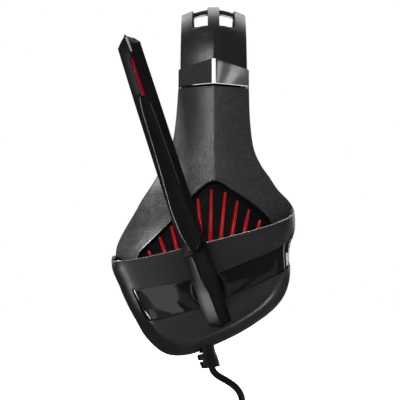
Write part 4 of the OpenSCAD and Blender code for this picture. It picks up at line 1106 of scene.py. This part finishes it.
def bootHole():  # where the boot comes out of the cover
    deselectAll()
    bpy.ops.mesh.primitive_cylinder_add(vertices=40, radius=boot["holeR"] * mm, depth=boot["holeLong"] * mm,
                                        location=(0, 0, boot["holeLong"] / 2 * mm))
    rod = placeInMesh(bpy.context.object)
    rod.rotation_euler = (0, -math.radians(boot["lean"]), 0)
    rod.location = Vector(cord["exit"]) * mm
    return placeInMesh(rod)


buildCover("left")
buildCover("right")
print("cup covers and panels made")


# ---- boom microphone: frame with r along the boom and w across it
boom = {"up": 147.5, "y": 100, "backT": 4.0, "front": 110, "bend": 7, "bendFrom": 60, "lean": 18,
        "seam": 0.25, "edge": 0.35, "square": 5, "shoulderAt": 0.42, "shoulderCut": 0.6, "shoulderIn": 0.12,
        "bulge": 0.56, "ridgeIn": 0.25, "flatLeft": 0.42, "flatRight": 0.2, "flatDrop": 0.6,
        "flatFull": 1.5, "flatLeast": 0.15}
boomSin, boomCos = math.sin(math.radians(boom["lean"])), math.cos(math.radians(boom["lean"]))
hubX, _, hubZ = cupPlace(hub["u"], 0, hub["v"])


def boomPlace(w, y, r):
    y -= boom["bend"] * (max(0, r - boom["bendFrom"]) / (boom["up"] - boom["bendFrom"])) ** 2
    return (hubX + w * boomCos - r * boomSin, -y, hubZ + w * boomSin + r * boomCos)


# outline of the boom: distance from the hub, left edge and right edge
boomEdges = [(-22.2, -0.8, 1.6), (-20.6, -4.2, 6.9), (-18.8, -6.1, 7.1), (-9, -6.9, 7.1), (-2, -7.1, 7.1),
             (8, -6.9, 7.1), (40, -7.1, 7.0), (70, -7.1, 6.9), (110, -6.9, 6.8), (136, -6.6, 6.6),
             (142.4, -6.5, 6.6), (145.3, -4, 4.3), (147.9, -1.3, 0.5), (148.9, -0.6, -0.2)]
boomLeft = Table([(r, a) for r, a, b in boomEdges])
boomRight = Table([(r, b) for r, a, b in boomEdges])
# the two long ridges: one at the tip, apart below the red strip, one again below the notch
ridgeLeft = Table([(-22.2, 0.6), (-2, -0.3), (6.5, -2.1), (20, -3.0), (21.6, -0.7), (23.4, -2.3),
                   (33, -5.0), (48, -5.8), (76, -4.5), (104, -4.0), (112, -3.2), (114.5, -1.4), (136, -0.9),
                   (148.9, -0.3)])
ridgeRight = Table([(-22.2, 1.2), (-2, 0.3), (6.5, -1.5), (20, 0.4), (21.6, -0.2), (23.4, 2.2), (27, 5.4),
                    (51, 3.4), (99, 2.2), (108, 1.6), (114.5, 0.4), (136, 0.6), (148.9, 0.1)])
# depth of the face between the ridges below the front, and of the ridges themselves
faceDip = Table([(-22.2, 0), (20, 0), (22, 0.9), (24, 0.35), (60, 0.3), (106, 0.3), (112, 0.2), (147, 0)])
ridgeFall = Table([(-22.2, 1.6), (-20.6, 0.6), (-16, 0), (142, 0), (148.9, 1.2)])


# the fine faces along the ridges, between two distances from the hub, which get the painted highlight
ridgeShine = {"left": (30, 112), "right": (62, 108), "near": 0.6, "facing": (0.7, 0.97)}


def buildBoomFront():
    marks = [-22.2, -21.6, -20.6, -19.6, -18.8, -17, -14, -11, -8, -5, -2, 1, 4, 6.5, 10, 14, 18, 20, 20.8,
             21.6, 22.5, 23.4, 24.4, 26, 28, 31, 34, 38, 43, 48, 54, 60, 66, 72, 78, 84, 90, 96, 101, 105,
             108, 110.5, 112.5, 114.5, 117, 121, 126, 131, 135, 138, 142.4, 143.8, 145.3, 146.7, 147.9,
             148.9]
    foot = boom["y"] + boom["backT"] + boom["seam"]

    def section(r):
        left, right = boomLeft.at(r), boomRight.at(r)
        top = boom["front"] - ridgeFall.at(r)
        dip = top - faceDip.at(r)
        shoulder = mix(foot, top, boom["shoulderAt"])
        below, bulge = shoulder - boom["shoulderCut"], mix(shoulder, top, boom["bulge"])
        a, b = max(ridgeLeft.at(r), left + boom["ridgeIn"]), min(ridgeRight.at(r), right - boom["ridgeIn"])
        share = clamp((b - a) / boom["flatFull"], boom["flatLeast"])  # the flats narrow where the ridges meet
        flat, thin = boom["flatLeft"] * share, boom["flatRight"] * share
        return [(left, foot), (left, below), (left + boom["shoulderIn"], shoulder),
                (mix(left, a, 0.5), bulge), (a - flat / 2, top - boom["flatDrop"] * flat),
                (a + flat / 2, top), (mix(a, b, 0.25), dip), (mix(a, b, 0.75), dip), (b - thin / 2, top),
                (b + thin / 2, top - boom["flatDrop"] * thin), (mix(right, b, 0.5), bulge),
                (right - boom["shoulderIn"], shoulder), (right, below), (right, foot)]

    across = len(section(0)) - 1

    def place(s, t):
        r = marks[round(t * (len(marks) - 1))]
        w, y = section(r)[round(s * across)]
        return boomPlace(w, y, r)

    front = surfaceGrid("boomFront", across, len(marks) - 1, place)
    closeUp(front, ends=bpy.ops.mesh.edge_face_add)
    easeEdges(front, boom["edge"], 3, 14)
    cutAway(front, boomBar("groove"))
    smooth(front, 20)
    mount(front, "mic_boom", "satin_black", "boom_front")
    spans = ((ridgeLeft, ridgeShine["left"]), (ridgeRight, ridgeShine["right"]))
    line = [boomPlace(ridge.at(r), boom["front"], r) for ridge, span in spans for r in range(*span)]
    low, high = ridgeShine["facing"]

    def onRidge(centre, normal):
        near = min(math.hypot(centre.x - x, centre.z - z) for x, _, z in line)
        return near < ridgeShine["near"] and low < -normal.y < high

    # painted highlight along the boom's two ridges
    paintHighlightOnFaces(front, onRidge)


# bars along the boom: lower and upper end, middle and width at both ends, back, front and rounding
boomBars = {
    "groove": (111.9, 135.1, (-0.6, -0.6), (3.1, 2.4), 109.0, 112, 0.15),
    "boomStrip": (112.6, 134.4, (-0.6, -0.6), (2.1, 1.5), 108.6, 109.95, 0.4),
    "boomTip": (138.2, 147.0, (0.45, 0.1), (1.0, 1.5), 108.4, 110.1, 0.2),
}


def boomBar(name):
    low, high, middles, widths, y0, y1, edge = boomBars[name]

    def place(s, t):
        c, d, q = squircle(2 * math.pi * s, boom["square"])
        half = mix(*widths, t) / 2
        return boomPlace(mix(*middles, t) + half * c * q, mix(y0, y1, 0.5) - (y1 - y0) / 2 * d * q,
                         mix(low, high, t))

    bar = closedTube(name, 20, 10, place)
    easeEdges(bar, edge, 3, 50)
    return smooth(bar, 35)


buildBoomFront()
mount(boomBar("boomStrip"), "mic_boom", "red_strip", "boom_strip")
# the white trim at the tip, whose faint glow is a painted highlight
mount(boomBar("boomTip"), "mic_boom", "white_strip", "boom_tip")
print("boom made")


# ---- boom back with the holes that the capsule hears through, hub disc
boomBack = {"inset": 0.35, "leastHalf": 0.2, "columns": 28, "edge": 0.2, "holes": (-2.6, 0, 2.6),
            "holesAt": 137, "holeR": 0.7, "holeDeep": 3.4}


def buildBoomBack():
    marks = [-21.4, -20.8, -19.8, -18, -9, -2, 8, 25, 40, 55, 66, 76, 86, 96, 106, 116, 126, 134, 140,
             142.6, 144.9, 147, 148]

    def place(s, t):
        r = marks[round(t * (len(marks) - 1))]
        c, d, q = squircle(2 * math.pi * s, boom["square"])
        left, right = boomLeft.at(r) + boomBack["inset"], boomRight.at(r) - boomBack["inset"]
        half = max(boomBack["leastHalf"], (right - left) / 2)
        y = boom["y"] + boom["backT"] * (0.5 - 0.5 * d * q)
        return boomPlace((left + right) / 2 + half * c * q, y, r)

    back = closedTube("boomBack", boomBack["columns"], len(marks) - 1, place)
    for w in boomBack["holes"]:
        middle = Vector(boomPlace(w, boom["y"], boomBack["holesAt"]))
        deselectAll()
        bpy.ops.mesh.primitive_cylinder_add(vertices=20, radius=boomBack["holeR"] * mm,
                                            depth=boomBack["holeDeep"] * mm, location=middle * mm,
                                            rotation=(math.radians(90), 0, 0))
        cutAway(back, placeInMesh(bpy.context.object))
    easeEdges(back, boomBack["edge"], 2, 50)
    smooth(back, 35)
    mount(back, "mic_boom", "satin_black", "boom_back")


def buildHub():
    disc = hubCylinder("micHub", hub["disc"], hub["r"])
    easeEdges(disc, hub["edge"], 3, 50)
    groove = hubCylinder("groove", hub["groove"], hub["grooveR"])  # a fine groove near the edge
    cutAway(groove, hubCylinder("core", hub["core"], hub["coreR"]))
    cutAway(disc, groove)
    spindle = hubCylinder("spindle", hub["spindle"], hub["spindleR"], 40)
    pick(disc)
    spindle.select_set(True)
    bpy.ops.object.join()
    smooth(disc, 35)
    mount(disc, "mic_boom", "satin_black", "mic_hub")


puff = {"voxel": 4.5, "pressure": 4.0, "quality": 6, "frames": 20, "most": 1.1}


def puffUp(piece):
    finishWith(piece, "REMESH", mode="VOXEL", voxel_size=puff["voxel"] * mm)
    before = [v.co.copy() for v in piece.data.vertices]
    pick(piece)
    step = piece.modifiers.new("Puff", "CLOTH")
    step.settings.use_pressure = True
    step.settings.uniform_pressure_force = puff["pressure"]
    step.settings.effector_weights.gravity = 0
    step.settings.quality = puff["quality"]
    for number in range(1, puff["frames"] + 1):
        bpy.context.scene.frame_set(number)
    bpy.ops.object.modifier_apply(modifier=step.name)
    bpy.context.scene.frame_set(1)
    for v, start in zip(piece.data.vertices, before):
        move = v.co - start
        if move.length > puff["most"] * mm:
            v.co = start + move.normalized() * puff["most"] * mm
    finishWith(piece, "SUBSURF", levels=2, render_levels=2)


cushion = {"margin": 3.2, "earW": 60, "earH": 52, "back": 63.2, "front": 46.8, "square": 3.2, "columns": 120,
           "points": 28, "seamY": 59.4, "seamDeep": 0.9, "seamWide": 0.8, "seamFade": (0.6, 0.9),
           "folds": 46, "foldDeep": 0.35, "foldFade": (0.15, 0.6), "sway": 2.2, "swayTurns": 5,
           "waver": 0.6, "waverScale": 0.11, "sag": 0.35, "sagScale": 0.09}


def earRadius(u, v):
    a = math.atan2(v, u)
    return 1 / math.hypot(math.cos(a) / (cushion["earW"] / 2), math.sin(a) / (cushion["earH"] / 2))


def buildCushions():
    deep = (cushion["back"] - cushion["front"]) / 2

    def place(s, t):
        a = 2 * math.pi * s
        r0, r1 = earRadius(math.cos(a), math.sin(a)), rimRadius(math.cos(a), math.sin(a)) - cushion["margin"]
        c, d, q = squircle(2 * math.pi * t, cushion["square"])
        r = (r0 + r1) / 2 + (r1 - r0) / 2 * c * q
        return cupPlace(r * math.cos(a), cushion["front"] + deep + deep * d * q, r * math.sin(a))

    pad = surfaceGrid("leftEarCushion", cushion["columns"], cushion["points"], place)
    closeUp(pad, weld=True)
    puffUp(pad)
    for v in pad.data.vertices:
        x, y, z = (c / mm for c in v.co)
        u, w = cupLine(x, z)
        a, reach = math.atan2(w, u), math.hypot(u, w)
        inner = earRadius(u, w)
        outer = rimRadius(u, w) - cushion["margin"]
        share = clamp((reach - inner) / (outer - inner))
        seam = math.exp(-((-y - cushion["seamY"]) / cushion["seamWide"]) ** 2)
        seam *= ease(share, *cushion["seamFade"])
        # short folds run out from the ear hole and die away over the top
        wave = math.sin(cushion["folds"] * a + cushion["sway"] * math.sin(cushion["swayTurns"] * a))
        wave += cushion["waver"] * noise.noise(Vector((u, w, 0)) * cushion["waverScale"])
        fold = wave * (1 - ease(share, *cushion["foldFade"])) * cushion["foldDeep"]
        fold += cushion["sag"] * noise.noise(Vector((x, y, z)) * cushion["sagScale"]) * (1 - seam)
        inwards = 1 if share > 0.5 else -1
        push = Vector((-u * rakeCos + w * rakeSin, 0, -u * rakeSin - w * rakeCos)).normalized()
        v.co += push * (seam * cushion["seamDeep"] * inwards * mm)
        v.co += v.normal * fold * mm
    smooth(pad, 60)
    for piece in mountPair(pad, "cup", "pad_leather", "ear_cushion").values():
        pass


headPad = {"angle": 51.4, "top": -14.9, "thick": 9.6, "leastThick": 1.6, "taperBow": 5, "w": 35,
           "square": 3.4, "columns": 90, "points": 30, "channel": 11.5, "channelDeep": 1.5,
           "channelWide": 1.3, "channelFade": (1.5, 5), "sideFade": 3, "waver": 0.25, "waverScale": 0.12}


def buildHeadPad():
    def place(s, t):  # s runs round the section and t along the band
        angle = mix(-headPad["angle"], headPad["angle"], t)
        c, d, q = squircle(2 * math.pi * s, headPad["square"])
        taper = max(0, 1 - abs(angle / headPad["angle"]) ** headPad["taperBow"]) ** 0.5
        thick = max(headPad["leastThick"], headPad["thick"] * taper)
        return bandPoint(headPad["w"] / 2 * c * q, angle, headPad["top"] - thick / 2 + thick / 2 * d * q)

    pad = closedTube("headPad", headPad["columns"], headPad["points"], place)
    puffUp(pad)
    for v in pad.data.vertices:
        x, y, z = (c / mm for c in v.co)
        angle = math.degrees(math.atan2(-y, z - band["centreZ"]))
        reach = math.hypot(y, z - band["centreZ"])
        near = abs((angle + headPad["channel"] / 2) % headPad["channel"] - headPad["channel"] / 2)
        away = math.radians(near) * reach  # distance from the nearest stitched channel
        low = ease(band["radius"] + headPad["top"] - reach, *headPad["channelFade"])
        dip = headPad["channelDeep"] * math.exp(-(away / headPad["channelWide"]) ** 2) * low
        dip *= 1 - ease(abs(x), headPad["w"] / 2 - headPad["sideFade"], headPad["w"] / 2)
        out = Vector((0, y, z - band["centreZ"])).normalized()
        v.co += out * dip * mm
        v.co += v.normal * headPad["waver"] * noise.noise(Vector((x, y, z)) * headPad["waverScale"]) * mm
    smooth(pad, 60)
    mount(pad, "headband", "pad_leather", "band_pad")


speakerCloth = {"y": 63.9, "margin": 8, "thick": 0.3, "dome": 0.5, "grid": 48}


def buildSpeakerCloths():
    def place(s, t):
        a, b = 2 * s - 1, 2 * t - 1
        reach, angle = max(abs(a), abs(b)), math.atan2(b, a)
        c, d = math.cos(angle), math.sin(angle)
        r = reach * (rimRadius(c, d) - speakerCloth["margin"])
        return cupPlace(r * c, speakerCloth["y"] - speakerCloth["dome"] * (1 - reach ** 2), r * d)

    sheet = surfaceGrid("leftSpeakerCloth", speakerCloth["grid"], speakerCloth["grid"], place)
    addWall(sheet, speakerCloth["thick"])
    smooth(sheet, 60)
    for side, piece in mountPair(sheet, "cup", "speaker_cloth", "speaker_cloth").items():
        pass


buildBoomBack()
buildHub()
buildCushions()
buildHeadPad()
buildSpeakerCloths()
print("boom back, hub and soft pieces made")


# ---- the ribbed boot, fuller where it comes out of the cup
def buildBoot():
    source = frame["nodes"]["strain_relief"]
    piece = source.copy()
    piece.data = source.data.copy()
    piece.name = "cordBoot"
    bpy.context.scene.collection.objects.link(piece)
    for vertex in piece.data.vertices:
        x, y, z = vertex.co / mm
        share = ease(-z, boot["from"], boot["to"])
        x += boot["widerX"] * share * (x - boot["middleX"])
        y += boot["widerY"] * share * (y - boot["middleY"])
        vertex.co = Vector((x, y, z)) * mm
    mount(piece, "left_cup", "cord_rubber", "strain_relief")


buildBoot()
print("cord boot made")

named = bpy.data.objects
linkLights([named["leftRing"], named["rightRing"]],
           [named[name] for name in ("boomFront", "boomBack", "micHub", "boomStrip", "boomTip")],
           [named[name] for name in ("leftCupCover", "rightCupCover", "leftArmShell", "rightArmShell",
                                     "boomFront")])
print("lights linked")


bpy.context.view_layer.update()
